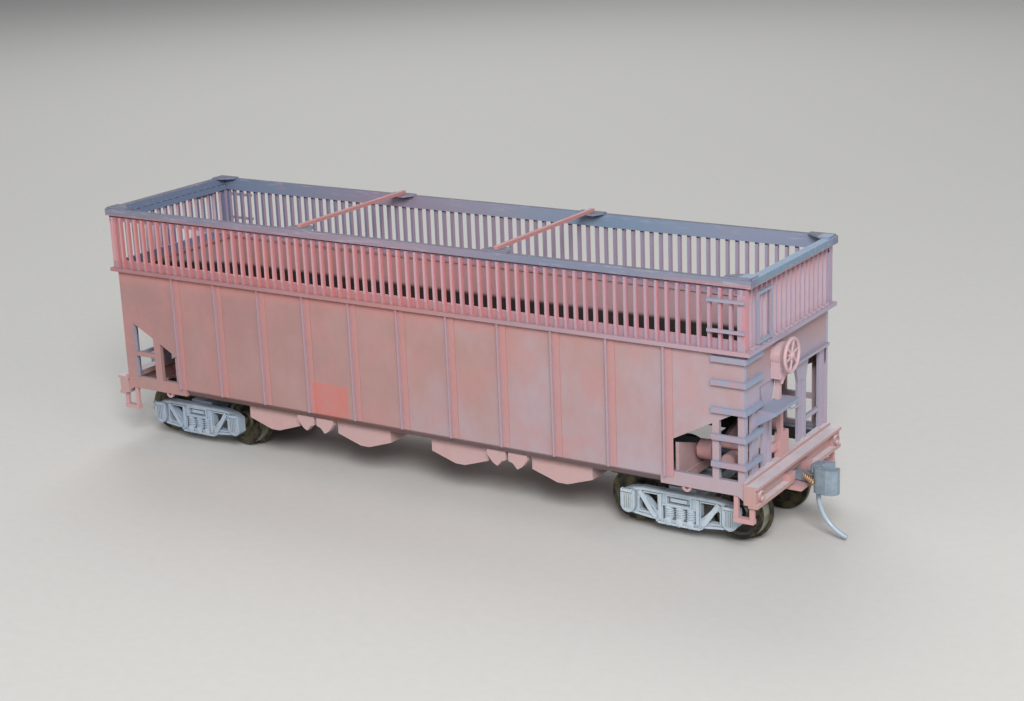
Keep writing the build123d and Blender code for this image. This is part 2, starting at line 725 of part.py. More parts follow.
with BuildPart() as control_valve:
    for x_low, radius, length in ((valve_x, valve_r, valve_length), (valve_x + valve_length, valve_nose_r, valve_nose)):
        with BuildSketch(Plane.YZ.offset(x_low)):
            with Locations((valve_y, valve_z)):
                Circle(radius)
        extrude(amount=length)
    strap_x = (valve_x + 0.8, valve_x + 2.0)
    side_profile([(strap_x[0], valve_z + valve_r - 0.2), (strap_x[1], valve_z + valve_r - 0.2),
                  (strap_x[1], slope_top(strap_x[1]) - slope_drop), (strap_x[0], slope_top(strap_x[0]) - slope_drop)],
                 valve_y - 0.5, valve_y + 0.5)
save(control_valve.part, "control_valve")

# Draft boxes behind the end sills: striker in the sill's opening, lower lip and side ears
slot_half = draft_half - draft_wall
slot_z = (coupler_z - shank_height / 2 - 0.15, coupler_z + shank_height / 2 + 0.15)
box_front = web_face - channel_thick
ear_x = (67.0, 68.6)

for end_name, end in ends:
    with BuildPart() as draft_box:
        slab((end * centre_sill_end, end * box_front), (-draft_half, draft_half), (draft_bottom, draft_top))
        for side in (-1, 1):
            slab((end * box_front, end * platform_x), (side * slot_half, side * striker_half), (flange_top, striker_top))
        slab((end * (box_front - 1), end * lip_front), (-lip_half, lip_half), (draft_bottom, draft_bottom + lip_thick))
        slab((end * ear_x[0], end * ear_x[1]), (-ear_half, ear_half), (draft_bottom, draft_bottom + 1.1))
        with Locations((end * (ear_x[0] + ear_x[1]) / 2, ear_half, draft_bottom + 0.55),
                       (end * (ear_x[0] + ear_x[1]) / 2, -ear_half, draft_bottom + 0.55)):
            Cylinder((ear_x[1] - ear_x[0]) / 2, 1.1)
        slab((end * (coupler_pivot - 2.2), end * (platform_x + 1)), (-slot_half, slot_half), slot_z,
             mode=Mode.SUBTRACT)
        with Locations((end * coupler_pivot, 0, coupler_z)):
            Cylinder(pivot_r, slot_z[1] - slot_z[0])
    save(draft_box.part, f"draft_box_{end_name}")

# Couplers: an eyed shank with its head, guard arm, spring window and the knuckle's round seat
# The outlines give X from the head's back and Y towards the knuckle's side
head_outline = [(0, 1.0), (0.35, 1.45), (1.35, 1.45), (1.7, 0.4), (1.95, -0.45), (2.6, -1.0), (3.3, -1.5),
                (3.1, -2.1), (2.2, -2.2), (0.8, -1.7), (0, -0.9)]
finger_outline = [(1.65, 2.35), (3.3, 2.6), (4.4, 2.3), (5.05, 1.6), (5.1, 0.7), (4.8, 0.05), (4.2, 0.1),
                  (4.1, 0.8), (3.3, 1.1), (2.3, 0.8), (1.65, 0.6)]
head_height = 4.9
knuckle_low = 8.0
knuckle_height = 4.35
seat_clear = 0.12
window_z = (9.05, 11.0)
slit_z = (11.0, 11.25)
heel_z = 9.0
heel_x = 0.95

for end_name, end in ends:
    hand = -end
    knuckle_place = (end * (head_x + knuckle_pin_x), hand * knuckle_pin_y)
    with BuildPart() as coupler:
        with BuildSketch(Plane.XY.offset(coupler_z - shank_height / 2)):
            with Locations((end * coupler_pivot, 0)):
                Circle(1.7)
            with Locations((end * (coupler_pivot + head_x + 0.5) / 2, 0)):
                Rectangle(head_x + 0.5 - coupler_pivot, 2 * shank_half)
            with Locations((end * coupler_pivot, 0)):
                Circle(pivot_r + pivot_clear, mode=Mode.SUBTRACT)
        extrude(amount=shank_height)
        with BuildSketch(Plane.XY.offset(coupler_z - head_height / 2)):
            Polygon(*[(end * (head_x + x), hand * y) for x, y in head_outline], align=None)
        extrude(amount=head_height)
        slab((end * (head_x - 0.1), end * (head_x + heel_x)), (-shank_half - 2, shank_half + 2),
             (coupler_z - head_height / 2 - 0.1, heel_z), mode=Mode.SUBTRACT)
        slab((end * (head_x - 0.1), end * (head_x + 3)), (hand * 0.95, hand * 3), window_z, mode=Mode.SUBTRACT)
        slab((end * (head_x - 0.1), end * (head_x + 3)), (hand * 0.7, hand * 3), slit_z, mode=Mode.SUBTRACT)
        with BuildSketch(Plane.XY.offset(coupler_z - head_height / 2 - 0.1)):
            with Locations(knuckle_place):
                Circle(knuckle_r + seat_clear)
        extrude(amount=head_height + 0.2, mode=Mode.SUBTRACT)
    save(coupler.part, f"coupler_{end_name}")

# Knuckles, each with its curved trip pin hanging towards the table
pin_drop = 1.2
pin_end_x = 79.4
pin_end_z = 0.75
pin_bend = 7.6

for end_name, end in ends:
    hand = -end
    knuckle_place = (end * (head_x + knuckle_pin_x), hand * knuckle_pin_y)
    with BuildPart() as knuckle:
        with BuildSketch(Plane.XY.offset(knuckle_low)):
            Polygon(*[(end * (head_x + x), hand * y) for x, y in finger_outline], align=None)
            with Locations(knuckle_place):
                Circle(knuckle_r)
        extrude(amount=knuckle_height)
        with BuildSketch(Plane.XY.offset(knuckle_low)):
            with Locations(knuckle_place):
                Circle(trip_pin_r)
        extrude(amount=-pin_drop)
        with BuildLine(Plane.XZ.offset(-knuckle_place[1])) as route:
            RadiusArc((knuckle_place[0], knuckle_low - pin_drop), (end * pin_end_x, pin_end_z), -end * pin_bend)
        with BuildSketch(Plane.XY.offset(knuckle_low - pin_drop)):
            with Locations(knuckle_place):
                Circle(trip_pin_r)
        sweep(path=route.wires()[0], transition=Transition.ROUND)
    save(knuckle.part, f"knuckle_{end_name}")

# Truck side frames: an arched plate with windows, journal boxes, springs and bolster end
journal_half = 1.55
journal_proud = 0.7
journal_top = 7.3
journal_round_z = 4.55

# Columns: X from the truck's centre, then Z, down one half of the side frame's outline
frame_half = [(6.9, frame_top_z), (8.3, 7.9), (9.6, 7.6), (11.0, 6.9), (11.0, 4.0), (9.8, 3.1), (8.0, 3.0),
              (4.7, 2.6), (4.1, seat_z)]
upper_window = [(3.95, 7.0), (4.2, 7.25), (6.6, 7.25), (6.9, 7.0), (6.7, 6.6), (4.4, 4.2), (3.95, 4.2)]
lower_window = [(7.4, 6.3), (7.75, 6.0), (7.75, 3.9), (7.5, 3.65), (5.3, 3.65), (5.05, 3.95), (5.2, 4.25)]
spring_pocket = (3.1, 3.0, 5.55)
bolster_pocket = (2.1, 5.9, 7.3)
spring_places = (-2.1, 0, 2.1)
spring_r = 0.85

for end_name, end in ends:
    centre = end * truck_x
    for side_name, side in sides:
        through = (side * (frame_inner_y - 1), side * (frame_outer_y + 1))
        with BuildPart() as frame:
            outline = [(centre + x, z) for x, z in frame_half] + [(centre - x, z) for x, z in reversed(frame_half)]
            side_profile(outline, side * frame_inner_y, side * frame_outer_y)
            for half in (-1, 1):
                for window in (upper_window, lower_window):
                    side_profile([(centre + half * x, z) for x, z in window], *through, mode=Mode.SUBTRACT)
            for half_wide, low, high in (spring_pocket, bolster_pocket):
                slab((centre - half_wide, centre + half_wide), through, (low, high), mode=Mode.SUBTRACT)
            for spring in spring_places:
                with Locations((centre + spring, side * (frame_inner_y + frame_outer_y) / 2,
                                (spring_pocket[1] + spring_pocket[2]) / 2)):
                    Cylinder(spring_r, spring_pocket[2] - spring_pocket[1])
            for half in (-1, 1):
                journal_x = centre + half * wheelbase / 2
                slab((journal_x - journal_half + 0.2, journal_x + journal_half - 0.2),
                     (side * frame_outer_y, side * (frame_outer_y + journal_proud)), (journal_round_z, journal_top))
                with BuildSketch(Plane.XZ.offset(-side * frame_outer_y)):
                    with Locations((journal_x, journal_round_z)):
                        Circle(journal_half - 0.2)
                extrude(amount=-side * journal_proud)
                with BuildSketch(Plane.XZ.offset(-side * (frame_inner_y - 0.45))):
                    with Locations((journal_x, axle_z)):
                        Circle(axle_point_r + journal_clear)
                extrude(amount=-side * 0.9, mode=Mode.SUBTRACT)
        save(frame.part, f"sideframe_{end_name}_{side_name}")

    with BuildPart() as truck_bolster:
        slab((centre - bolster_half, centre + bolster_half), (-frame_inner_y, frame_inner_y), (7.6, 8.6))
        slab((centre - 1.9, centre + 1.9), (-frame_inner_y - 1.0, frame_inner_y + 1.0), (6.1, 7.1))
        slab((centre - 1.9, centre + 1.9), (-frame_inner_y, frame_inner_y), (6.1, 8.6))
        with Locations((centre, 0, (8.6 + bolster_top) / 2)):
            Cylinder(2.4, bolster_top - 8.6)
        with Locations((centre, 0, 8)):
            Cylinder(kingpin_r + 0.1, 8, mode=Mode.SUBTRACT)
    save(truck_bolster.part, f"truck_bolster_{end_name}")

    with BuildPart() as kingpin:
        with Locations((centre, 0, 8.6)):
            Cylinder(kingpin_r, 5.4)
        with Locations((centre, 0, 5.7)):
            Cylinder(1.9, 0.6)
    save(kingpin.part, f"kingpin_{end_name}")

# Wheelsets: axle with pointed ends and two flanged wheels, turned in one profile
axle_places = [end * truck_x + half * wheelbase / 2 for end in (1, -1) for half in (1, -1)]

for number, axle_x in enumerate(axle_places, 1):
    with BuildPart() as wheelset:
        with BuildSketch(Plane.XY.offset(axle_z)):
            for side in (-1, 1):
                Polygon((axle_x, 0), (axle_x + axle_r, 0), (axle_x + axle_r, side * (axle_half - 1.1)),
                        (axle_x + axle_point_r, side * (axle_half - 0.5)), (axle_x + axle_point_r, side * axle_half),
                        (axle_x, side * axle_half), align=None)
                Polygon((axle_x, side * wheel_back), (axle_x + flange_r - 0.2, side * wheel_back),
                        (axle_x + flange_r, side * (wheel_back + 0.3)),
                        (axle_x + tread_r, side * (wheel_back + flange_thick)),
                        (axle_x + tread_r - 0.08, side * wheel_face), (axle_x + tread_r - 0.8, side * wheel_face),
                        (axle_x + tread_r - 1.1, side * (wheel_face - 0.6)), (axle_x + 1.8, side * (wheel_face - 0.6)),
                        (axle_x + 1.5, side * wheel_face), (axle_x, side * wheel_face), align=None)
        revolve(axis=Axis((axle_x, 0, axle_z), (0, 1, 0)))
    save(wheelset.part, f"wheelset_{number}")
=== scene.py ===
import math

import bpy
from mathutils import Euler, Matrix, Vector
from mathutils.geometry import tessellate_polygon


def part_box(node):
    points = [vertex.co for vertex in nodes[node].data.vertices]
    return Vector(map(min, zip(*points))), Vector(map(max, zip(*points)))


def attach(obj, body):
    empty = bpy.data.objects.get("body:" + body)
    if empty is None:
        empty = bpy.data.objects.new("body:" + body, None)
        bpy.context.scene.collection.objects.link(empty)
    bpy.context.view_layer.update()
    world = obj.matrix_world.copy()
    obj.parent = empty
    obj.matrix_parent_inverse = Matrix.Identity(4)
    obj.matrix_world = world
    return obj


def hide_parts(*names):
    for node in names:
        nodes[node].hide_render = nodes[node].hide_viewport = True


# An open hopper wagon with slatted racks, a small scale model on its wheels.
# Sizes and places here are millimetres in the part's own frame: +X to end B, -Y the right
# side, +Z up, the table at Z = 0. MM turns them into metres where a mesh is made.
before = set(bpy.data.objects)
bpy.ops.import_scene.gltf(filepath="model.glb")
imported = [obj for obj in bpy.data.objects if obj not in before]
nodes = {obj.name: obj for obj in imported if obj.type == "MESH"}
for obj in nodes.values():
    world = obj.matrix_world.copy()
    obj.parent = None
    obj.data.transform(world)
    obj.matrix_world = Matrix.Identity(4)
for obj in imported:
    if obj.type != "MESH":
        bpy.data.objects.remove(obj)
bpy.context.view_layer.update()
MM = 0.001

SIDES = (("right", -1), ("left", 1))
ENDS = (("b", 1), ("a", -1))


def low_corner(node):
    """Lowest corner of a CAD node, in millimetres."""
    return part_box(node)[0] / MM


def high_corner(node):
    """Highest corner of a CAD node, in millimetres."""
    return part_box(node)[1] / MM


# Places read off the CAD frame
SHEET_HIGH = high_corner("side_sheet_right")
SHEET_TOP = SHEET_HIGH.z
BODY_END = SHEET_HIGH.x
RAIL = high_corner("lower_rail")
TOP_RAIL = high_corner("top_rail")
TOP_RAIL_FOOT = low_corner("top_rail").z
TRUCK_X = (high_corner("sideframe_b_right").x + low_corner("sideframe_b_right").x) / 2
HALF_WHEELBASE = (high_corner("wheelset_1").x + low_corner("wheelset_1").x) / 2 - TRUCK_X

# Side sheets: face, foot and ribs
SHEET_Y = 16.7
SHEET_FOOT = 12.6
RIB_PITCH = 10.72
RIB_COUNT = 11
RIB_WEB = 0.35
RIB_FLANGE = 1.3
END_SHEET_FOOT = 28.3
# Slope sheets: rise in a millimetre, their line's height at mid-length, depth of shade under it
SLOPE_RISE = 0.577
SLOPE_START = -10.4
SLOPE_SHADE = 3.2
# Racks: slats, the band at their feet and the plate at their heads
SLAT_PITCH = 1.907
SLAT_WIDTH = 0.52
SLAT_COUNT = 70
END_SLAT_PITCH = 1.85
END_SLAT_COUNT = 17
SLAT_BOLT_Z = 45.7
BAND_TOP = RAIL.z + 1.45
PLATE_FOOT = TOP_RAIL_FOOT - 1.15
# Brake wheel on end B
BRAKE_WHEEL = (70.7, -4.7, 32.4)
# Coupler head and height, and the face of the side frames
HEAD_X = 72.6
COUPLER_Z = 10.0
FRAME_FACE = 12.6
# Small rivets: radius and height, and usual spacing
RIVET = (0.09, 0.06)
RIVET_STEP = 0.9


def srgb(red, green, blue):
    """A linear RGBA colour from display values between 0 and 1."""
    return [c / 12.92 if c <= 0.04045 else ((c + 0.055) / 1.055) ** 2.4 for c in (red, green, blue)] + [1.0]


def shades(*rows):
    """Colours along the body, evenly spaced from end A to end B."""
    return tuple(srgb(*row) for row in rows)


# Colours, as display values
OXIDE = srgb(0.640, 0.490, 0.480)
CORAL = srgb(0.740, 0.520, 0.510)
PATCH = srgb(0.760, 0.470, 0.440)
RED_EDGE = srgb(0.70, 0.455, 0.425)
LILAC = srgb(0.640, 0.580, 0.640)
DUST = srgb(0.700, 0.630, 0.670)
BLUE_GREY = srgb(0.500, 0.530, 0.605)
POST_END = srgb(0.625, 0.655, 0.745)
END_LILAC = srgb(0.685, 0.640, 0.705)
# The dark brown below darkens pits in the paint and is also painted shade under and beside parts; the
# near-black after it is painted shadow only.
SOOT_AND_SHADE = srgb(0.30, 0.21, 0.20)
NEAR_BLACK = srgb(0.09, 0.065, 0.06)
DARK_GREY = srgb(0.195, 0.205, 0.230)
TRUCK_BLUE = srgb(0.730, 0.780, 0.815)
TRUCK_SHADE = srgb(0.615, 0.670, 0.740)
COUPLER_GREY = srgb(0.575, 0.635, 0.685)
WHEEL_DARK = srgb(0.20, 0.195, 0.19)
TREAD_BRIGHT = srgb(0.66, 0.66, 0.62)
OLIVE = srgb(0.45, 0.42, 0.30)
WIRE_STEEL = srgb(0.66, 0.71, 0.76)
PALE_CHIP = srgb(0.84, 0.80, 0.77)

SHEET_FADE = (OXIDE, srgb(0.675, 0.535, 0.52), srgb(0.68, 0.61, 0.64))
SHEET_INSIDES = shades((0.73, 0.53, 0.53), (0.74, 0.55, 0.56), (0.70, 0.61, 0.655))
RAIL_FRONTS = shades((0.47, 0.48, 0.555), (0.55, 0.498, 0.565), (0.585, 0.52, 0.58),
                     (0.48, 0.50, 0.58), (0.50, 0.515, 0.59))
RAIL_INSIDES = shades((0.41, 0.48, 0.60), (0.50, 0.54, 0.63), (0.60, 0.545, 0.62), (0.585, 0.59, 0.665),
                      (0.49, 0.58, 0.68), (0.56, 0.59, 0.68), (0.54, 0.58, 0.675))
LOWER_RAIL_COLORS = shades((0.62, 0.45, 0.465), (0.635, 0.475, 0.495), (0.685, 0.49, 0.48),
                           (0.635, 0.545, 0.58), (0.68, 0.585, 0.63))
SLAT_FRONTS = shades((0.765, 0.57, 0.575), (0.77, 0.61, 0.645), (0.655, 0.575, 0.635))
SLAT_SIDES = shades((0.80, 0.50, 0.49), (0.84, 0.52, 0.515), (0.76, 0.535, 0.57))
SLAT_BACKS = shades((0.44, 0.47, 0.58), (0.58, 0.54, 0.62), (0.64, 0.61, 0.70))
BAND_FRONTS = shades((0.66, 0.49, 0.51), (0.70, 0.50, 0.50), (0.66, 0.57, 0.62))

# Where paint lies: how far a face has to turn towards an axis to count a little and in full, half the
# length that fades run over, the plain patch, and the line of the painted shadow inside the body with its
# drop in a millimetre
TURNED = (0.4, 0.9)
FADE_REACH = 60.0
BODY_REACH = 75.0
PATCH_X = (-20.3, -12.2)
PATCH_Z = (11.6, 18.9)
# Line and tilt of the painted shadow inside the body.
INSIDE_SHADOW_LINE = (33.9, 32.9)
INSIDE_SHADOW_TILT = 0.244


class Net:
    """A node material whose coordinates are the part's own, in millimetres."""

    def __init__(self, name, roughness=0.8, metallic=0.0):
        self.material = bpy.data.materials.new(name)
        self.material.use_nodes = True
        self.tree = self.material.node_tree
        self.shader = self.tree.nodes["Principled BSDF"]
        self.shader.inputs["Roughness"].default_value = roughness
        self.shader.inputs["Metallic"].default_value = metallic
        coordinates = self.node("TexCoord")
        scale = self.node("VectorMath")
        scale.operation = "SCALE"
        self.join(coordinates.outputs["Object"], scale.inputs[0])
        self.join(1 / MM, scale.inputs["Scale"])
        self.place = scale.outputs[0]
        self.x, self.y, self.z = self.node("SeparateXYZ", Vector=self.place).outputs
        facing = self.node("SeparateXYZ", Vector=coordinates.outputs["Normal"])
        self.face_x, self.face_y, self.face_z = facing.outputs

    def node(self, kind, **inputs):
        """A new shader node, with values or links for some of its inputs."""
        made = self.tree.nodes.new("ShaderNode" + kind)
        for name, value in inputs.items():
            self.join(value, made.inputs[name])
        return made

    def join(self, value, socket):
        if isinstance(value, bpy.types.NodeSocket):
            self.tree.links.new(value, socket)
        else:
            socket.default_value = value

    def math(self, operation, first, second=0.0):
        node = self.node("Math")
        node.operation = operation
        self.join(first, node.inputs[0])
        self.join(second, node.inputs[1])
        return node.outputs[0]

    def size(self, value):
        return self.math("ABSOLUTE", value)

    def outward(self, place, facing):
        """How far a face looks away from the middle of the part."""
        return self.times(self.math("SIGN", place), facing)

    def upward(self):
        return self.ramp(self.face_z, 0.3, 0.9)

    def times(self, *factors):
        product = factors[0]
        for factor in factors[1:]:
            product = self.math("MULTIPLY", product, factor)
        return product

    def total(self, *terms):
        result = terms[0]
        for term in terms[1:]:
            result = self.math("ADD", result, term)
        return result

    def ramp(self, value, low, high, bottom=0.0, top=1.0):
        """Runs smoothly from bottom to top as the value goes from low to high."""
        node = self.node("MapRange")
        node.interpolation_type = "SMOOTHSTEP"
        for value_in, socket in zip((value, low, high, bottom, top), node.inputs):
            self.join(value_in, socket)
        return node.outputs[0]

    def band(self, value, low, high, soft):
        """1 between low and high, falling to 0 over soft on both sides."""
        return self.times(self.ramp(value, low - soft, low), self.ramp(value, high, high + soft, 1.0, 0.0))

    def noise(self, size, detail=3.0, stretch=None, shift=0.0):
        """Cloudy noise whose blotches are about size millimetres across."""
        place = self.place
        if stretch or shift:
            mapping = self.node("Mapping", Vector=place, Scale=stretch or (1, 1, 1), Location=(shift,) * 3)
            place = mapping.outputs[0]
        node = self.node("TexNoise", Vector=place, Scale=1 / size, Detail=detail, Roughness=0.6)
        return node.outputs["Fac"]

    def specks(self, spacing, radius, share):
        """Small round specks, one in each cell of a scattered grid, in a share of the cells."""
        node = self.node("TexVoronoi", Vector=self.place, Scale=1 / spacing)
        near = self.ramp(node.outputs["Distance"], radius / spacing, radius / spacing * 0.6)
        split = self.node("SeparateColor", Color=node.outputs["Color"])
        return self.times(near, self.math("LESS_THAN", split.outputs[0], share))

    def mix(self, factor, first, second):
        node = self.node("Mix")
        node.data_type = "RGBA"
        self.join(factor, node.inputs[0])
        self.join(first, node.inputs[6])
        self.join(second, node.inputs[7])
        return node.outputs[2]

    def stops(self, value, low, high, colors):
        """Colours spread evenly between two values."""
        node = self.node("ValToRGB")
        elements = node.color_ramp.elements
        last = len(colors) - 1
        for i in range(1, last):
            elements.new(i / last)
        for element, color in zip(elements, colors):
            element.color = color
        self.join(self.math("DIVIDE", self.math("SUBTRACT", value, low), high - low), node.inputs[0])
        return node.outputs[0]

    def along_body(self, colors, reach=FADE_REACH):
        """Colours spread evenly from end A to end B."""
        return self.stops(self.x, -reach, reach, colors)

    def bump(self, height, distance):
        node = self.node("Bump", Distance=distance * MM, Strength=1.0, Height=height)
        self.join(node.outputs[0], self.shader.inputs["Normal"])

    def color(self, value):
        self.join(value, self.shader.inputs["Base Color"])

    def roughness(self, value):
        self.join(value, self.shader.inputs["Roughness"])


def finish_paint(net, color, grain=0.02):
    """Fine paint grain, a few pale flecks and dark pits, and a roughness that varies."""
    flecks = net.total(net.specks(2.6, 0.09, 0.10), net.specks(5.0, 0.14, 0.06))
    color = net.mix(net.times(flecks, 0.7), color, PALE_CHIP)
    color = net.mix(net.times(net.specks(1.9, 0.07, 0.10), 0.5), color, SOOT_AND_SHADE)
    net.color(color)
    net.roughness(net.ramp(net.noise(1.5, 4), 0.3, 0.7, 0.72, 0.92))
    net.bump(net.total(net.noise(0.16, 2), net.noise(0.7, 3, shift=5.0)), grain)
    return net.material


def dusted_paint(name, base, top_dust=0.6, side_dust=0.35, cloud=0.35, dust=DUST):
    """Matt oxide paint under sprayed dust, thicker on upward faces and on those towards end A."""
    net = Net(name)
    clouds = net.ramp(net.noise(14.0, 4), 0.32, 0.68)
    fine = net.ramp(net.noise(1.1, 4, shift=3.0), 0.35, 0.65)
    up = net.times(net.upward(), top_dust)
    away = net.times(net.ramp(net.face_x, -0.3, -0.9), side_dust)
    amount = net.total(up, away, net.times(clouds, cloud), net.times(fine, 0.10))
    color = net.mix(amount, base, dust)
    worn = net.times(net.ramp(net.noise(5.0, 3, shift=9.0), 0.60, 0.80), 0.30)
    return finish_paint(net, net.mix(worn, color, CORAL))


def rib_colors(net, color, side):
    """Pale rib webs, each with a coral riveted strip on one side and a painted shadow line on the other."""
    step = net.math("DIVIDE", net.x, RIB_PITCH)
    from_rib = net.times(net.math("SUBTRACT", step, net.math("ROUND", step)), RIB_PITCH, side)
    ribbed = net.times(net.math("LESS_THAN", net.size(net.x), RIB_PITCH * (RIB_COUNT / 2 - 0.1)),
                       net.math("GREATER_THAN", net.z, SHEET_FOOT))
    edge = RIB_WEB / 2
    flange = net.band(from_rib, edge, edge + RIB_FLANGE, 0.08)
    color = net.mix(net.times(flange, ribbed, 0.55), color, CORAL)
    web = net.band(from_rib, -edge, edge, 0.04)
    color = net.mix(net.times(web, ribbed, 0.6), color, LILAC)
    # A painted shadow line beside each rib web.
    seam_shadow = net.band(from_rib, -edge - 0.16, -edge - 0.02, 0.05)
    return net.mix(net.times(seam_shadow, ribbed, 0.55), color, SOOT_AND_SHADE)


def sheet_inside(net, color):
    """Inner faces: lighter above the slope sheets, then a painted shadow deep in the body, and a painted
    shadow under the slopes.
    """
    inside = net.ramp(net.outward(net.y, net.face_y), -0.3, -0.7)
    over_slope = net.math("SUBTRACT", net.z, net.times(net.size(net.x), SLOPE_RISE))
    above = net.math("GREATER_THAN", over_slope, SLOPE_START)
    color = net.mix(net.times(inside, above, 0.65), color, net.along_body(SHEET_INSIDES))
    # Painted shadow on the inner faces deep in the body.
    color = inside_shadow(net, color, net.times(inside, above))
    # Painted shadow on the inner faces just under the slope sheets.
    shaded = net.times(inside, net.band(over_slope, SLOPE_START - SLOPE_SHADE, SLOPE_START, 1.0))
    return net.mix(net.times(shaded, 0.85), color, SOOT_AND_SHADE)


def sheet_paint():
    """The side sheets: oxide fading to lilac dust towards end B, the darker end A also painted shade of the
    light falling off, redder under the rail, with their ribs, the plain colour patch and painted shade along
    the foot."""
    net = Net("side_sheet_paint")
    side = net.math("SIGN", net.math("MULTIPLY", net.y, -1.0))
    # Fade from oxide to lilac dust, which is also painted shade as the light falls off towards end A.
    fade_and_falloff = net.total(net.ramp(net.x, -BODY_REACH, BODY_REACH, 0.02, 0.80),
                     net.ramp(net.z, 34.0, 11.0, 0.0, 0.20),
                     net.ramp(net.noise(16.0, 4), 0.3, 0.7, -0.16, 0.16),
                     net.ramp(net.noise(2.2, 5, stretch=(1, 1, 0.35)), 0.3, 0.7, -0.06, 0.06))
    color = net.stops(fade_and_falloff, 0.0, 1.0, SHEET_FADE)
    warm = net.times(net.ramp(net.noise(9.0, 4, shift=4.0), 0.48, 0.66), 0.35)
    color = net.mix(warm, color, CORAL)
    red_top = net.times(net.ramp(net.z, SHEET_TOP - 3.4, SHEET_TOP - 0.6),
                        net.ramp(net.x, 62.0, 5.0, 0.15, 0.75),
                        net.ramp(net.noise(5.0, 4, shift=7.0), 0.25, 0.65, 0.4, 1.0))
    color = net.mix(red_top, color, CORAL)
    color = rib_colors(net, color, side)
    up = net.ramp(net.face_z, *TURNED)
    color = net.mix(net.times(up, 0.5), color, BLUE_GREY)
    end_face = net.times(net.ramp(net.size(net.face_x), *TURNED), net.ramp(net.size(net.x), 62.0, 66.0))
    color = net.mix(net.times(end_face, 0.85), color, POST_END)
    edge_noise = net.times(net.noise(0.8, 4, shift=2.0), 0.5)
    patch = net.times(net.band(net.total(net.times(net.x, side), edge_noise), *PATCH_X, 0.10),
                      net.band(net.total(net.z, edge_noise), *PATCH_Z, 0.10),
                      net.ramp(net.noise(2.4, 5, shift=11.0), 0.30, 0.62, 0.55, 0.95))
    color = net.mix(patch, color, PATCH)
    top_edge = net.times(net.ramp(net.z, SHEET_TOP - 1.6, SHEET_TOP - 0.2),
                         net.ramp(net.x, 30.0, -30.0, 0.15, 0.75))
    color = net.mix(top_edge, color, RED_EDGE)
    color = sheet_inside(net, color)
    # Painted shade along the sheets' foot, where the hem turns in.
    foot = net.times(net.ramp(net.z, SHEET_FOOT + 0.1, SHEET_FOOT - 0.5),
                     net.math("LESS_THAN", net.size(net.x), 52.5))
    return finish_paint(net, net.mix(net.times(foot, 0.72), color, SOOT_AND_SHADE))


def rail_insides(net):
    """What the inner faces of the top rail and of the plate under it show."""
    return net.along_body(RAIL_INSIDES, BODY_REACH)


def top_rail_paint():
    """Top rail: lilac fading to blue-grey, with a coral lower edge, darker tops and painted shade on the
    faces that look down.
    """
    net = Net("top_rail_paint")
    top = TOP_RAIL.z
    pink = net.times(net.ramp(net.z, top - 1.15, top - 1.5), net.ramp(net.x, -60.0, 25.0, 0.9, 0.0))
    color = net.mix(pink, net.along_body(RAIL_FRONTS), srgb(0.64, 0.46, 0.47))
    near_corner = net.times(net.ramp(net.z, top - 0.8, top - 1.2), net.ramp(net.x, 48.0, 62.0),
                            net.ramp(net.size(net.face_y), *TURNED))
    color = net.mix(net.times(near_corner, 0.85), color, srgb(0.66, 0.50, 0.52))
    outward = net.outward(net.x, net.face_x)
    low_edge = net.ramp(net.z, TOP_RAIL_FOOT + 0.30, TOP_RAIL_FOOT + 0.15)
    end_face = net.mix(low_edge, srgb(0.46, 0.545, 0.625), srgb(0.62, 0.50, 0.51))
    end_face = net.mix(net.ramp(net.size(net.y), 13.0, 17.0), end_face, srgb(0.45, 0.46, 0.55))
    color = net.mix(net.ramp(outward, *TURNED), color, end_face)
    inward = net.total(net.times(net.outward(net.y, net.face_y), -1.0),
                       net.math("MAXIMUM", net.times(outward, -1.0), 0.0))
    color = net.mix(net.ramp(inward, *TURNED), color, rail_insides(net))
    tops = net.mix(net.ramp(net.noise(6.0, 4), 0.35, 0.65), srgb(0.43, 0.45, 0.505), srgb(0.45, 0.42, 0.465))
    across_end = net.times(net.ramp(net.x, 66.6, 67.4), net.ramp(net.size(net.y), 17.0, 16.0))
    tops = net.mix(across_end, tops, srgb(0.565, 0.63, 0.71))
    color = net.mix(net.ramp(net.face_z, *TURNED), color, tops)
    # Painted shade on the faces that look down.
    color = net.mix(net.ramp(net.face_z, -0.3, -0.8, 0.0, 0.85), color, SOOT_AND_SHADE)
    streaks = net.times(net.ramp(net.noise(0.5, 5, stretch=(0.12, 1, 1)), 0.52, 0.70), 0.35)
    color = net.mix(streaks, color, srgb(0.70, 0.71, 0.77))
    worn = net.times(net.ramp(net.noise(2.4, 5, stretch=(0.5, 1, 1), shift=8.0), 0.60, 0.74), 0.5)
    return finish_paint(net, net.mix(worn, color, CORAL))


def tie_paint():
    """Tie bars: coral flat straps with lilac dust on top."""
    net = Net("tie_paint")
    dusted = net.times(net.upward(), net.ramp(net.noise(5.0, 4), 0.35, 0.65, 0.2, 0.9))
    return finish_paint(net, net.mix(dusted, srgb(0.76, 0.53, 0.52), srgb(0.72, 0.62, 0.65)))


def lower_rail_paint():
    """Lower rail: coral towards end A and lilac-pink at end B, blue-grey across the ends, with painted shade
    on the faces that look down.
    """
    net = Net("lower_rail_paint")
    cloud = net.times(net.ramp(net.noise(3.5, 5, stretch=(0.4, 1, 1)), 0.4, 0.7), 0.4)
    color = net.mix(cloud, net.along_body(LOWER_RAIL_COLORS), srgb(0.73, 0.57, 0.58))
    at_end = net.times(net.ramp(net.size(net.x), 67.0, 68.0), net.ramp(net.size(net.y), 17.4, 16.0))
    color = net.mix(net.times(at_end, 0.8), color, srgb(0.63, 0.61, 0.68))
    # Painted shade on the faces that look down.
    return finish_paint(net, net.mix(net.ramp(net.face_z, -0.2, -0.6, 0.0, 0.85), color, SOOT_AND_SHADE))


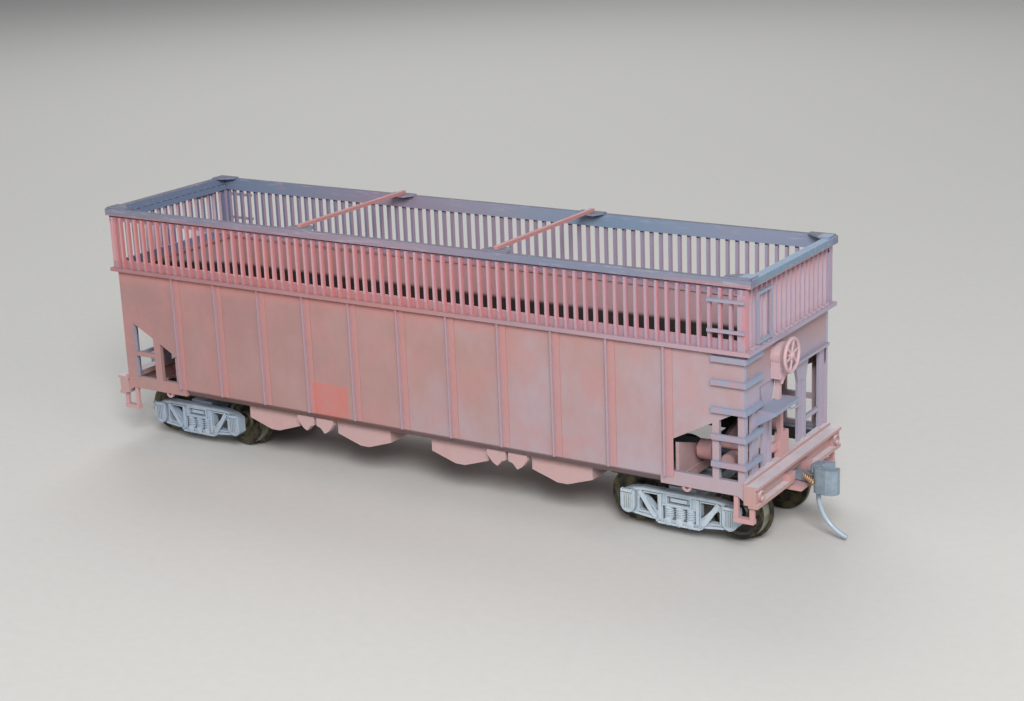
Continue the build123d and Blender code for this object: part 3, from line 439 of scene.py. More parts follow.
def side_slat_colors(net):
    """Fronts and side faces of the side racks' slats, with worn edges and the plate between them."""
    along = net.math("SUBTRACT", net.math("DIVIDE", net.x, SLAT_PITCH), 0.5)
    from_slat = net.times(net.math("SUBTRACT", along, net.math("ROUND", along)), SLAT_PITCH,
                          net.math("SIGN", net.y))
    worn_edge = net.times(net.ramp(from_slat, -0.06, -0.12), net.math("GREATER_THAN", net.z, BAND_TOP))
    fronts = net.mix(worn_edge, net.along_body(SLAT_FRONTS), srgb(0.75, 0.51, 0.53))
    plate = net.times(net.math("GREATER_THAN", net.size(from_slat), SLAT_WIDTH / 2 + 0.01),
                      net.math("GREATER_THAN", net.z, PLATE_FOOT))
    fronts = net.mix(plate, fronts, srgb(0.555, 0.48, 0.555))
    dusty_side = net.times(net.math("GREATER_THAN", net.y, 0.0), net.ramp(net.face_x, *TURNED))
    return fronts, net.mix(dusty_side, net.along_body(SLAT_SIDES), srgb(0.66, 0.575, 0.65))


def end_slat_colors(net):
    """Fronts and side faces of the end racks' slats, redder just under the rail; the sides are painted
    lighter as painted light against the shade between slats.
    """
    # The side faces are painted lighter than the fronts: painted light against the shade between the slats.
    sides = net.mix(net.ramp(net.z, 41.0, 46.0), srgb(0.765, 0.665, 0.70), srgb(0.765, 0.585, 0.595))
    return srgb(0.655, 0.59, 0.675), sides


def slat_paint(name, at_end):
    """Slats: pale lilac fronts, coral sides, dusty insides and painted shadow lines under the top rail and
    under the head plate.
    """
    net = Net(name)
    place, facing = (net.x, net.face_x) if at_end else (net.y, net.face_y)
    outward = net.outward(place, facing)
    front = net.ramp(outward, *TURNED)
    fronts, sides = end_slat_colors(net) if at_end else side_slat_colors(net)
    color = net.mix(front, sides, fronts)
    band_front = net.times(net.ramp(net.z, BAND_TOP + 0.1, BAND_TOP - 0.1), front)
    color = net.mix(band_front, color, net.along_body(BAND_FRONTS))
    clouds = net.ramp(net.noise(4.0, 4, stretch=(1, 1, 0.4)), 0.3, 0.7, 0.0, 0.25)
    color = net.mix(clouds, color, LILAC)
    inner = net.ramp(outward, -0.4, -0.9)
    on_plate = net.math("GREATER_THAN", net.z, PLATE_FOOT)
    color = net.mix(inner, color, net.mix(on_plate, net.along_body(SLAT_BACKS), rail_insides(net)))
    # Painted shadow lines: on inner faces under the head plate, on outer faces under the top rail.
    under_plate = net.times(inner, net.band(net.z, PLATE_FOOT - 0.30, PLATE_FOOT - 0.02, 0.05))
    under_rail = net.times(net.ramp(outward, -0.5, -0.1),
                           net.ramp(net.z, TOP_RAIL_FOOT - 0.34, TOP_RAIL_FOOT - 0.22))
    return finish_paint(net, net.mix(net.times(net.total(under_plate, under_rail), 0.92), color, NEAR_BLACK))


def inside_shadow(net, color, inside):
    """Painted shadow: blackens what lies deep inside the body, below a line that falls from the right side to
    the left, as the right side's shadow falls.
    """
    height = net.total(net.z, net.times(net.y, INSIDE_SHADOW_TILT))
    return net.mix(net.times(inside, net.ramp(height, *INSIDE_SHADOW_LINE), 0.96), color, NEAR_BLACK)


def rung_paint():
    """Rungs and grab bars: lilac with light blue dust on top and on the ends, painted shade underneath."""
    net = Net("rung_paint")
    color = net.mix(net.ramp(net.noise(2.5, 4), 0.35, 0.65), srgb(0.66, 0.56, 0.60), srgb(0.57, 0.59, 0.67))
    dusted = net.total(net.times(net.upward(), 0.7),
                       net.times(net.ramp(net.size(net.face_x), *TURNED), 0.85))
    color = net.mix(dusted, color, srgb(0.555, 0.605, 0.695))
    # Painted shade on the faces that look down.
    return finish_paint(net, net.mix(net.times(net.ramp(net.face_z, -0.3, -0.8), 0.9), color, SOOT_AND_SHADE))


def interior_paint():
    """Slope sheets and ridges: dusty oxide, black with a painted shadow on top and near-black painted shade
    underneath.
    """
    net = Net("interior_paint")
    color = net.mix(net.ramp(net.noise(9.0, 4), 0.3, 0.7, 0.1, 0.6), OXIDE, DUST)
    # Painted shadow on the upward faces deep in the body.
    color = inside_shadow(net, color, net.ramp(net.face_z, 0.1, 0.5))
    # Faces that look down get near-black painted shade.
    shadow = net.mix(net.noise(4.0, 3), NEAR_BLACK, srgb(0.24, 0.175, 0.16))
    return finish_paint(net, net.mix(net.ramp(net.face_z, 0.1, -0.5), color, shadow))


def end_paint():
    """End sheets and frames: lilac under blue-grey dust outside, a painted shadow inside."""
    net = Net("end_paint")
    clouds = net.ramp(net.noise(14.0, 4), 0.32, 0.68)
    amount = net.total(net.times(net.upward(), 0.5), net.times(clouds, 0.25))
    color = net.mix(net.ramp(net.z, 26.0, 34.0), END_LILAC, srgb(0.665, 0.545, 0.545))
    color = net.mix(amount, color, BLUE_GREY)
    inner = net.ramp(net.outward(net.x, net.face_x), -0.3, -0.7)
    # Painted shadow on the inner faces of the ends, deep in the body.
    deep = net.times(inner, net.math("GREATER_THAN", net.z, END_SHEET_FOOT))
    return finish_paint(net, inside_shadow(net, color, deep))


def platform_paint():
    """End platforms: lilac-grey on top, coral down the front, with a shadow line under the lip."""
    net = Net("platform_paint")
    clouds = net.ramp(net.noise(7.0, 4), 0.3, 0.7, 0.0, 0.45)
    color = net.mix(clouds, srgb(0.72, 0.565, 0.545), srgb(0.68, 0.61, 0.63))
    up = net.times(net.upward(), net.ramp(net.noise(3.0, 4, shift=4.0), 0.2, 0.6, 0.7, 1.0))
    color = net.mix(up, color, srgb(0.80, 0.765, 0.79))
    line = net.times(net.band(net.z, 12.58, 12.78, 0.06), net.ramp(net.size(net.face_x), 0.4, 0.8))
    return finish_paint(net, net.mix(net.times(line, 0.8), color, SOOT_AND_SHADE))


def dark_underframe():
    """Centre and side sills: dark grey, which on the side sills is painted shade under the body, with some of
    the trucks' dust on top.
    """
    net = Net("underframe_paint")
    # On the side sills the dark grey is painted shade under the body.
    color = net.mix(net.ramp(net.noise(6.0, 4), 0.35, 0.7, 0.0, 0.45), DARK_GREY, srgb(0.33, 0.33, 0.36))
    return finish_paint(net, net.mix(net.times(net.upward(), 0.5), color, TRUCK_SHADE))


def truck_paint(name="truck_paint", dark=srgb(0.44, 0.42, 0.40), reach=0.9):
    """Trucks: pale blue-grey sprayed over brown plastic, which shows in the recesses, darkened there also as
    painted shade, and painted shade towards end A.
    """
    net = Net(name)
    ao = net.node("AmbientOcclusion", Distance=reach * MM)
    ao.samples = 6
    ao.only_local = True
    # Darker in the recesses: brown plastic showing there, and painted shade.
    open_part = net.ramp(ao.outputs["AO"], 0.35, 0.85)
    # Darker towards end A: painted shade, as the light falls off there.
    base = net.mix(net.ramp(net.x, 45.0, -45.0, 0.0, 0.85), TRUCK_BLUE, TRUCK_SHADE)
    base = net.mix(net.ramp(net.noise(3.0, 4), 0.3, 0.7, 0.0, 0.4), base, TRUCK_SHADE)
    color = net.mix(open_part, dark, base)
    cream = net.times(net.ramp(net.noise(1.6, 5, shift=6.0), 0.58, 0.70), 0.45)
    return finish_paint(net, net.mix(cream, color, srgb(0.78, 0.75, 0.66)), 0.03)


def wheel_metal():
    """Turned wheels: darkened faces, a bright tread and flange rim, olive tarnish."""
    net = Net("wheel_metal", roughness=0.4, metallic=0.75)
    rim = net.ramp(net.size(net.face_y), 0.75, 0.35)
    tarnish = net.times(net.ramp(net.noise(1.8, 5), 0.42, 0.62), 0.6)
    net.color(net.mix(tarnish, net.mix(rim, WHEEL_DARK, TREAD_BRIGHT), OLIVE))
    net.roughness(net.ramp(net.noise(1.0, 4, shift=2.0), 0.3, 0.7, 0.28, 0.55))
    net.bump(net.noise(0.12, 2), 0.008)
    return net.material


def coupler_metal():
    """Couplers: blue-grey metal, darker behind the knuckle spring, and a brighter trip pin."""
    net = Net("coupler_metal", roughness=0.55, metallic=0.25)
    color = net.mix(net.ramp(net.noise(1.5, 4), 0.3, 0.7, 0.0, 0.6), COUPLER_GREY, srgb(0.47, 0.52, 0.57))
    behind_spring = net.times(net.band(net.size(net.x), 72.3, 73.6, 0.1), net.band(net.z, 9.2, 10.5, 0.1))
    color = net.mix(net.times(behind_spring, 0.6), color, srgb(0.22, 0.23, 0.25))
    net.color(net.mix(net.ramp(net.z, 7.2, 6.6), color, WIRE_STEEL))
    net.roughness(net.ramp(net.noise(0.6, 4, shift=2.0), 0.3, 0.7, 0.42, 0.68))
    net.bump(net.noise(0.2, 3), 0.02)
    return net.material


def mottled_metal(name, roughness, metallic, blotch, first, second):
    """Bare metal of two mottled shades."""
    net = Net(name, roughness, metallic)
    net.color(net.mix(net.noise(blotch, 3), first, second))
    net.bump(net.noise(0.1, 2), 0.01)
    return net.material


PAINTS = {
    "sheet": sheet_paint(),
    "body": dusted_paint("body_paint", srgb(0.70, 0.565, 0.56)),
    "end": end_paint(),
    "interior": interior_paint(),
    "platform": platform_paint(),
    "rail": top_rail_paint(),
    "tie": tie_paint(),
    "lower_rail": lower_rail_paint(),
    "slat": slat_paint("slat_paint", False),
    "end_slat": slat_paint("end_slat_paint", True),
    "rung": rung_paint(),
    "coral": dusted_paint("coral_paint", srgb(0.77, 0.58, 0.57), 0.35, 0.3, 0.25),
    "pink": dusted_paint("pink_paint", srgb(0.80, 0.67, 0.68), 0.3, 0.4, 0.3, LILAC),
    "door": dusted_paint("door_paint", srgb(0.76, 0.62, 0.605), 0.2, 0.2, 0.2),
    "dark": dark_underframe(),
    "truck": truck_paint(),
    "wheel": wheel_metal(),
    "coupler": coupler_metal(),
    "screw": mottled_metal("screw_steel", 0.35, 0.9, 0.5, srgb(0.55, 0.55, 0.56), srgb(0.38, 0.37, 0.36)),
    "brass": mottled_metal("brass_spring", 0.45, 0.5, 0.5, srgb(0.80, 0.68, 0.52), srgb(0.66, 0.50, 0.38)),
    "wire": mottled_metal("bright_wire", 0.4, 0.4, 0.9, srgb(0.86, 0.83, 0.84), srgb(0.74, 0.70, 0.72)),
    "spring": truck_paint("spring_paint", srgb(0.30, 0.29, 0.29), 0.3),
}

# Columns: paint, then the start of the names of the CAD nodes that wear it. The rest wear body paint.
NODE_PAINTS = (
    ("sheet", ("side_sheet",)),
    ("rail", ("top_rail",)),
    ("tie", ("tie_bar",)),
    ("lower_rail", ("lower_rail",)),
    ("slat", ("rack_side",)),
    ("end_slat", ("rack_end",)),
    ("rung", ("ladder_", "rack_grabs", "brake_step")),
    ("coral", ("step_stirrups", "air_tank", "brake_cylinder", "control_valve", "brake_post",
               "draft_box", "roping_eyes")),
    ("door", ("hopper_", "door_latches")),
    ("pink", ("brake_gear_box", "brake_wheel")),
    ("end", ("end_sheet", "end_frame")),
    ("platform", ("end_sill",)),
    ("interior", ("slope_sheet", "cross_ridges")),
    ("dark", ("centre_sill", "side_sills")),
    ("screw", ("kingpin",)),
    ("truck", ("sideframe", "truck_bolster")),
    ("wheel", ("wheelset",)),
    ("coupler", ("coupler_", "knuckle_")),
)


def paint_cad_nodes():
    """Gives every CAD node its paint."""
    for name, piece in nodes.items():
        fitting = [paint for paint, starts in NODE_PAINTS if name.startswith(starts)]
        piece.data.materials.clear()
        piece.data.materials.append(PAINTS[(fitting + ["body"])[0]])


def soften(piece, width):
    """Rounds a piece's edges a little, as cast or sanded edges are."""
    bevel = piece.modifiers.new("soft_edges", "BEVEL")
    bevel.width = width * MM
    bevel.segments = 2
    bevel.limit_method = "ANGLE"
    bevel.angle_limit = math.radians(40)


def spokes(axis, count):
    """Unit directions around an axis."""
    across = axis.orthogonal().normalized()
    other = axis.cross(across)
    turns = [2 * math.pi * k / count for k in range(count)]
    return [math.cos(turn) * across + math.sin(turn) * other for turn in turns]


class Shape:
    """Collects the faces of one mesh, in millimetres."""

    def __init__(self):
        self.points = []
        self.faces = []

    def add(self, points, faces):
        start = len(self.points)
        self.points.extend(tuple(p) for p in points)
        self.faces.extend(tuple(start + i for i in face) for face in faces)

    def block(self, x, y, z):
        """A box between two values of each axis."""
        x, y, z = sorted(x), sorted(y), sorted(z)
        points = [(i, j, k) for i in x for j in y for k in z]
        self.add(points, [(0, 1, 3, 2), (4, 6, 7, 5), (0, 4, 5, 1),
                          (2, 3, 7, 6), (0, 2, 6, 4), (1, 5, 7, 3)])

    def plate(self, loops, low, high):
        """A plate from an outline and its holes, as pairs of X and Z, between two values of Y."""
        flat = [point for loop in loops for point in loop]
        triangles = tessellate_polygon([[Vector((a, b, 0)) for a, b in loop] for loop in loops])
        count = len(flat)
        points = [(a, low, b) for a, b in flat] + [(a, high, b) for a, b in flat]
        faces = [tuple(t) for t in triangles] + [tuple(i + count for i in reversed(t)) for t in triangles]
        start = 0
        for loop in loops:
            size = len(loop)
            for i in range(size):
                a, b = start + i, start + (i + 1) % size
                faces.append((a, b, b + count, a + count))
            start += size
        self.add(points, faces)

    def ribbon(self, route, width, low, high, closed=False):
        """A flat bar of even width along a route of X and Z, between two values of Y."""
        route = [Vector(p) for p in route]
        count = len(route)
        left, right = [], []
        for i, point in enumerate(route):
            into = (point - route[i - 1]).normalized() if closed or i > 0 else None
            out = (route[(i + 1) % count] - point).normalized() if closed or i < count - 1 else None
            into, out = into or out, out or into
            across = Vector((-into.y - out.y, into.x + out.x)).normalized()
            reach = width / 2 / max(0.4, across.dot(Vector((-out.y, out.x))))
            left.append(tuple(point + across * reach))
            right.append(tuple(point - across * reach))
        if closed:
            self.plate([left, right], low, high)
        else:
            self.plate([left + right[::-1]], low, high)

    def tube(self, route, radius, sides=8, closed=False):
        """A round bar along a route of points."""
        route = [Vector(p) for p in route]
        count = len(route)
        ring_points = []
        across = None
        for i, point in enumerate(route):
            before = route[i - 1] if closed or i > 0 else route[i]
            after = route[(i + 1) % count] if closed or i < count - 1 else route[i]
            ahead = (after - before).normalized()
            if across is None:
                across = ahead.orthogonal().normalized()
            across = (across - ahead * across.dot(ahead)).normalized()
            other = ahead.cross(across)
            for k in range(sides):
                turn = 2 * math.pi * k / sides
                ring_points.append(point + radius * (math.cos(turn) * across + math.sin(turn) * other))
        faces = []
        for i in range(count if closed else count - 1):
            j = (i + 1) % count
            for k in range(sides):
                m = (k + 1) % sides
                faces.append((i * sides + k, i * sides + m, j * sides + m, j * sides + k))
        if not closed:
            faces.append(tuple(reversed(range(sides))))
            faces.append(tuple((count - 1) * sides + k for k in range(sides)))
        self.add(ring_points, faces)

    def lathe(self, profile, centre, axis, steps=32):
        """A turned body: its profile gives radius and place along the axis from the centre."""
        axis = Vector(axis).normalized()
        centre = Vector(centre)
        points = []
        for spoke in spokes(axis, steps):
            points.extend(centre + axis * along + spoke * radius for radius, along in profile)
        size = len(profile)
        faces = []
        for k in range(steps):
            m = (k + 1) % steps
            for i in range(size - 1):
                faces.append((k * size + i, k * size + i + 1, m * size + i + 1, m * size + i))
        faces.append(tuple(k * size for k in range(steps)))
        faces.append(tuple(k * size + size - 1 for k in reversed(range(steps))))
        self.add(points, faces)

    def rivet(self, place, facing, radius, height, sides=7):
        """A low round head that stands on a surface."""
        facing = Vector(facing).normalized()
        place = Vector(place)
        around = spokes(facing, sides)
        points = []
        for ring_radius, rise in ((radius, -0.02), (radius * 0.75, height * 0.75)):
            points.extend(place + facing * rise + ring_radius * spoke for spoke in around)
        points.append(place + facing * height)
        faces = [(k, (k + 1) % sides, sides + (k + 1) % sides, sides + k) for k in range(sides)]
        faces += [(sides + k, sides + (k + 1) % sides, 2 * sides) for k in range(sides)]
        faces.append(tuple(reversed(range(sides))))
        self.add(points, faces)

    def rivet_row(self, places, facing, size=RIVET, sides=7):
        """Rivets of one size, its radius and height, at each place."""
        for place in places:
            self.rivet(place, facing, *size, sides)

    def spring(self, centre, radius, wire, low, high, turns, sides=6, steps=14):
        """A standing coil spring."""
        x, y = centre
        count = int(turns * steps)
        route = []
        for i in range(count + 1):
            turn = 2 * math.pi * i / steps
            height = low + (high - low) * i / count
            route.append((x + radius * math.cos(turn), y + radius * math.sin(turn), height))
        self.tube(route, wire, sides)

    def piece(self, name, body, slot, paint, soft=0.0):
        """Makes the Blender object, lets it ride on its body and gives it its paint; the slot is not used."""
        mesh = bpy.data.meshes.new(name)
        mesh.from_pydata([tuple(c * MM for c in p) for p in self.points], [], self.faces)
        mesh.validate()
        made = bpy.data.objects.new(name, mesh)
        bpy.context.scene.collection.objects.link(made)
        mesh.materials.append(PAINTS[paint])
        mesh.shade_smooth()
        mesh.set_sharp_from_angle(angle=math.radians(38))
        if soft:
            soften(made, soft)
        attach(made, body)
        return made


def spread(first, last, step=RIVET_STEP):
    """Values from first to last, evenly spaced at about the step."""
    count = max(1, round(abs(last - first) / step))
    return [first + (last - first) * i / count for i in range(count + 1)]


def side_rivets():
    """Rivet rows on each side sheet: two per rib strip, along the top and along the foot."""
    strip_heights = spread(SHEET_FOOT + 0.5, SHEET_TOP - 0.6, 0.85)
    top_row = spread(1.0 - BODY_END, BODY_END - 1.0)
    foot_row = spread(-53.0, 53.0)
    for side_name, side in SIDES:
        rivets = Shape()
        face_y = side * SHEET_Y
        strip_y = face_y + side * 0.15
        facing = (0, side, 0)
        for i in range(RIB_COUNT):
            rib_x = (i - (RIB_COUNT - 1) / 2) * RIB_PITCH
            for across in (0.3, 0.75):
                x = rib_x - side * (RIB_WEB / 2 + RIB_FLANGE * across)
                rivets.rivet_row([(x, strip_y, z) for z in strip_heights], facing)
        rivets.rivet_row([(x, face_y, SHEET_TOP - 0.45) for x in top_row], facing)
        rivets.rivet_row([(x, face_y, SHEET_FOOT + 0.45) for x in foot_row], facing)
        rivets.piece(f"rivets_{side_name}", "root", "body_paint", "sheet")


# Side frame forms, X from the truck's centre and Z, for one half. Ribs have their width first.
CHORD_RIBS = (
    (0.45, ((0.0, 7.82), (6.9, 7.82), (8.3, 7.62), (9.3, 7.42))),
    (0.85, ((7.5, 7.35), (4.45, 2.95))),
    (0.60, ((3.55, 2.9), (3.55, 7.5))),
    (0.40, ((0.0, 2.32), (4.0, 2.32))),
    (0.40, ((4.9, 2.93), (8.0, 3.27), (8.5, 3.3))),
)
WINDOW_LIPS = (
    ((3.95, 7.0), (4.2, 7.25), (6.6, 7.25), (6.9, 7.0), (6.7, 6.6), (4.4, 4.2), (3.95, 4.2)),
    ((7.4, 6.3), (7.75, 6.0), (7.75, 3.9), (7.5, 3.65), (5.3, 3.65), (5.05, 3.95), (5.2, 4.25)),
)
FRAME_BOLTS = ((3.55, 7.9), (5.4, 7.9), (8.9, 6.9), (4.2, 2.5))
BOLSTER_WINDOW = ((-2.3, 5.78), (2.3, 5.78), (2.3, 7.42), (-2.3, 7.42))
SPRING_PLACES = (-2.1, 0.0, 2.1)
# Journal lids: half width, top, centre of the round foot, ribs
LID_HALF = 1.0
LID_TOP = 6.8
LID_FOOT = 4.4
LID_RIBS = (-0.62, -0.2, 0.22, 0.64)


def half_frame(cast, centre, half, side):
    """Ribs, window lips and bolts on one half of a side frame."""
    face = side * FRAME_FACE
    for width, route in CHORD_RIBS:
        cast.ribbon([(centre + half * x, z) for x, z in route], width, face, face + side * 0.32)
    for loop in WINDOW_LIPS:
        lip = [(centre + half * x, z) for x, z in loop]
        cast.ribbon(lip, 0.22, face, face + side * 0.16, closed=True)
    for x, z in FRAME_BOLTS:
        cast.rivet((centre + half * x, face + side * 0.3, z), (0, side, 0), 0.17, 0.14)


def journal_lid(cast, journal, side):
    """A journal box's ribbed lid with its round foot and hinge."""
    lid_face = side * FRAME_FACE + side * 0.7
    low, high = journal - LID_HALF, journal + LID_HALF
    lid = [(low, LID_TOP), (high, LID_TOP), (high, LID_FOOT)]
    for angle in (0.6, 1.2, 1.94, 2.54):
        lid.append((journal + LID_HALF * math.cos(angle), LID_FOOT - LID_HALF * math.sin(angle)))
    lid.append((low, LID_FOOT))
    cast.plate([lid], lid_face, lid_face + side * 0.16)
    for x in LID_RIBS:
        rib = [(journal + x, 4.0), (journal + x, 6.6)]
        cast.ribbon(rib, 0.16, lid_face + side * 0.15, lid_face + side * 0.27)
    hinge_y = lid_face + side * 0.05
    cast.tube([(journal - 0.75, hinge_y, 7.15), (journal + 0.75, hinge_y, 7.15)], 0.32, 10)
    for x in (-0.9, 0.9):
        cast.tube([(journal + x - 0.12, lid_face, 7.2), (journal + x + 0.12, lid_face, 7.2)], 0.42, 10)


def bolster_end(cast, centre, side):
    """The framed bolster end over the springs, its shelf, and the springs' seats."""
    face = side * FRAME_FACE
    frame_loop = [(centre + x, z) for x, z in BOLSTER_WINDOW]
    cast.ribbon(frame_loop, 0.3, face, face + side * 0.3, closed=True)
    cast.block((centre - 1.5, centre + 1.5), (face - side * 0.4, face + side * 0.1), (6.3, 6.95))
    cast.block((centre - 3.2, centre + 3.2), (face - side * 0.2, face + side * 0.25), (5.45, 5.75))
    for spring in SPRING_PLACES:
        cast.lathe([(0.75, 0.0), (0.75, 0.28), (0.45, 0.42)], (centre + spring, face, 2.75), (0, side, 0), 14)


def truck_details():
    """What stands on the cast side frames, and the coil springs in their windows."""
    for end_name, end in ENDS:
        centre = end * TRUCK_X
        body = f"truck_{end_name}"
        for side_name, side in SIDES:
            cast = Shape()
            for half in (-1, 1):
                half_frame(cast, centre, half, side)
                journal_lid(cast, centre + half * HALF_WHEELBASE, side)
            bolster_end(cast, centre, side)
            cast.piece(f"frame_forms_{end_name}_{side_name}", body, "truck_paint", "truck", soft=0.05)
            springs = Shape()
            for spring in SPRING_PLACES:
                springs.spring((centre + spring, side * (FRAME_FACE - 0.65)), 0.84, 0.17, 3.15, 5.4, 5.5)
            springs.piece(f"springs_{end_name}_{side_name}", body, "truck_paint", "spring")


# Knuckle spring: turns, steps in a turn, radius and wire, then its middle line's start and run,
# as X from the head's face, distance from the middle plane and height over the coupler's middle
KNUCKLE_SPRING = (6, 10, 0.44, 0.13)
SPRING_START = (-1.1, 1.45, 0.75)
SPRING_RUN = (2.4, 0.9, -0.9)


def coupler_details():
    """The slanted knuckle spring beside each head, and the pin's head over each knuckle."""
    turns, steps, radius, wire = KNUCKLE_SPRING
    count = turns * steps
    for end_name, end in ENDS:
        hand = -end
        route = []
        for i in range(count + 1):
            angle = 2 * math.pi * i / steps
            ahead, out, rise = (start + run * i / count for start, run in zip(SPRING_START, SPRING_RUN))
            route.append((end * (HEAD_X + ahead), hand * out + radius * math.cos(angle),
                          COUPLER_Z + rise + radius * 1.1 * math.sin(angle)))
        spring = Shape()
        spring.tube(route, wire, 6)
        spring.piece(f"knuckle_spring_{end_name}", f"coupler_{end_name}", "coupler_metal", "brass")
        knuckle_top = high_corner(f"knuckle_{end_name}").z
        pin_place = (end * (HEAD_X + 1.65), hand * 1.4, knuckle_top - 0.02)
        head = Shape()
        head.lathe([(0.34, 0.0), (0.34, 0.12), (0.22, 0.18)], pin_place, (0, 0, 1), 16)
        head.piece(f"knuckle_pin_{end_name}", f"knuckle_{end_name}", "coupler_metal", "coupler")


# Brake wheel's rim, and along each spoke the distance from the hub, the sweep and the depth
RIM_RADIUS = 2.75
SPOKE_COUNT = 6
SPOKE_POINTS = ((0.4, 0.0, 0.1), (1.1, 0.10, -0.05), (1.9, 0.05, -0.05), (2.6, -0.04, 0.0))
HUB_PROFILE = ((0.5, -1.15), (0.5, -0.3), (0.75, -0.25), (0.75, 0.18), (0.45, 0.3), (0.25, 0.45))
GEAR_BOX_BOLTS = ((-1.35, 1.1), (1.35, 1.1), (-1.45, -2.2), (1.45, -2.2), (0.0, -3.3))


def brake_details():
    """The spoked brake wheel with its round rim, and the bolts and chain guide of the gear box."""
    x, y, z = BRAKE_WHEEL
    wheel = Shape()
    angles = [2 * math.pi * i / 40 for i in range(40)]
    ring = [(x, y + RIM_RADIUS * math.cos(a), z + RIM_RADIUS * math.sin(a)) for a in angles]
    wheel.tube(ring, 0.33, 10, closed=True)
    for i in range(SPOKE_COUNT):
        turn = 2 * math.pi * (i + 0.25) / SPOKE_COUNT
        route = [(x - sink, y + reach * math.cos(turn + sweep), z + reach * math.sin(turn + sweep))
                 for reach, sweep, sink in SPOKE_POINTS]
        wheel.tube(route, 0.2, 7)
    wheel.lathe(HUB_PROFILE, (x, y, z), (1, 0, 0), 20)
    made = wheel.piece("brake_wheel_spoked", "root", "rung_paint", "pink")
    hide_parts("brake_wheel")
    box = Shape()
    bolts = [(69.55, y + across, z + up) for across, up in GEAR_BOX_BOLTS]
    box.rivet_row(bolts, (1, 0, 0), (0.2, 0.15))
    box.lathe([(0.8, 0.0), (0.55, 0.8), (0.3, 1.5)], (68.85, y, z - 3.7), (0, 0, -1), 16)
    box.piece("gear_box_fittings", "root", "body_paint", "pink", soft=0.04)


PIPE_ROUTE = ((68.5, -1.2, 23.9), (68.5, -1.2, 22.4), (68.5, -0.9, 21.9), (68.5, 0.4, 21.3),
              (68.3, 2.6, 20.9), (67.8, 5.2, 20.6))
# Rivet columns on the side sheets' end posts: X, lowest and highest rivet. The first pair is on
# the corner that has no ladder, the second on the ladder's corner.
PLAIN_POST_ROWS = ((62.8, 16.2, 33.4), (67.3, 14.4, 33.4))
LADDER_POST_ROWS = ((66.6, 14.4, 33.4), (59.4, 14.6, 20.6))


def end_rivets(end):
    """Rivets on an end sheet, on its posts and along the sill, clear of the gear box."""
    rivets = Shape()
    face = end * BODY_END
    facing = (end, 0, 0)
    gear_y = BRAKE_WHEEL[1]
    top_row = [y for y in spread(-15.4, 15.4, 0.95) if end < 0 or abs(y - gear_y) > 2.2]
    rivets.rivet_row([(face, y, SHEET_TOP - 0.5) for y in top_row], facing)
    rivets.rivet_row([(face, y, 29.3) for y in spread(end * 15.5, end * -1.5)], facing)
    for y in (-15.5, 15.5):
        rivets.rivet_row([(face, y, z) for z in spread(29.8, SHEET_TOP - 1.2)], facing)
    for y in (end * -15.3, end * -11.95):
        rivets.rivet_row([(face, y, z) for z in spread(25.8, 33.6)], facing)
    sill_row = [(end * 69.3, y, 12.0) for y in spread(-13.6, 13.6, 1.36) if abs(y) > 5.8]
    rivets.rivet_row(sill_row, facing, (0.1, 0.07))
    return rivets


def end_details():
    """Rivets on the ends and corner posts, and the bent wire pipe at end B."""
    for end_name, end in ENDS:
        end_rivets(end).piece(f"end_rivets_{end_name}", "root", "body_paint", "end")
        if end > 0:
            pipe = Shape()
            pipe.tube(PIPE_ROUTE, 0.16, 7)
            pipe.piece("bent_pipe", "root", "screw_steel", "wire")
    for side_name, side in SIDES:
        posts = Shape()
        face_y = side * SHEET_Y
        facing = (0, side, 0)
        for end in (-1, 1):
            for x, low, high in PLAIN_POST_ROWS if end == -side else LADDER_POST_ROWS:
                posts.rivet_row([(end * x, face_y, z) for z in spread(low, high)], facing)
            posts.rivet_row([(end * x, face_y, 13.2) for x in spread(53.5, 66.0, 0.95)], facing)
        posts.piece(f"post_rivets_{side_name}", "root", "body_paint", "sheet")


def rack_details():
    """Bolts at the slats' feet and heads, and the feet of the end slats on the rail."""
    bolt = (0.13, 0.08)
    for side_name, side in SIDES:
        bolts = Shape()
        for i in range(SLAT_COUNT):
            x = (i - (SLAT_COUNT - 1) / 2) * SLAT_PITCH
            places = [(x, side * TOP_RAIL.y, z) for z in (RAIL.z + 0.3, SLAT_BOLT_Z)]
            bolts.rivet_row(places, (0, side, 0), bolt, sides=6)
        bolts.piece(f"slat_bolts_{side_name}", "root", "slat_paint", "slat")
    face_x = high_corner("rack_end_b").x
    for end_name, end in ENDS:
        bolts = Shape()
        foot_x = (end * (face_x - 0.1), end * (face_x + 0.55))
        for i in range(END_SLAT_COUNT):
            y = (i - (END_SLAT_COUNT - 1) / 2) * END_SLAT_PITCH
            bolts.rivet_row([(end * face_x, y, SLAT_BOLT_Z)], (end, 0, 0), bolt, sides=6)
            bolts.block(foot_x, (y - 0.45, y + 0.45), (RAIL.z - 0.05, RAIL.z + 0.22))
        bolts.piece(f"end_slat_bolts_{end_name}", "root", "slat_paint", "end_slat")


# Hopper chutes: outer face, bays in rib spacings from the middle, and the rivet row on each V
# plate: X and Z of its upper end, how far it runs in and down, and how many rivets it has
CHUTE_FACE = 14.7
BAYS = (-3, -1, 1, 3)
V_ROW = (5.7, 9.1, 4.5, 1.6, 6)


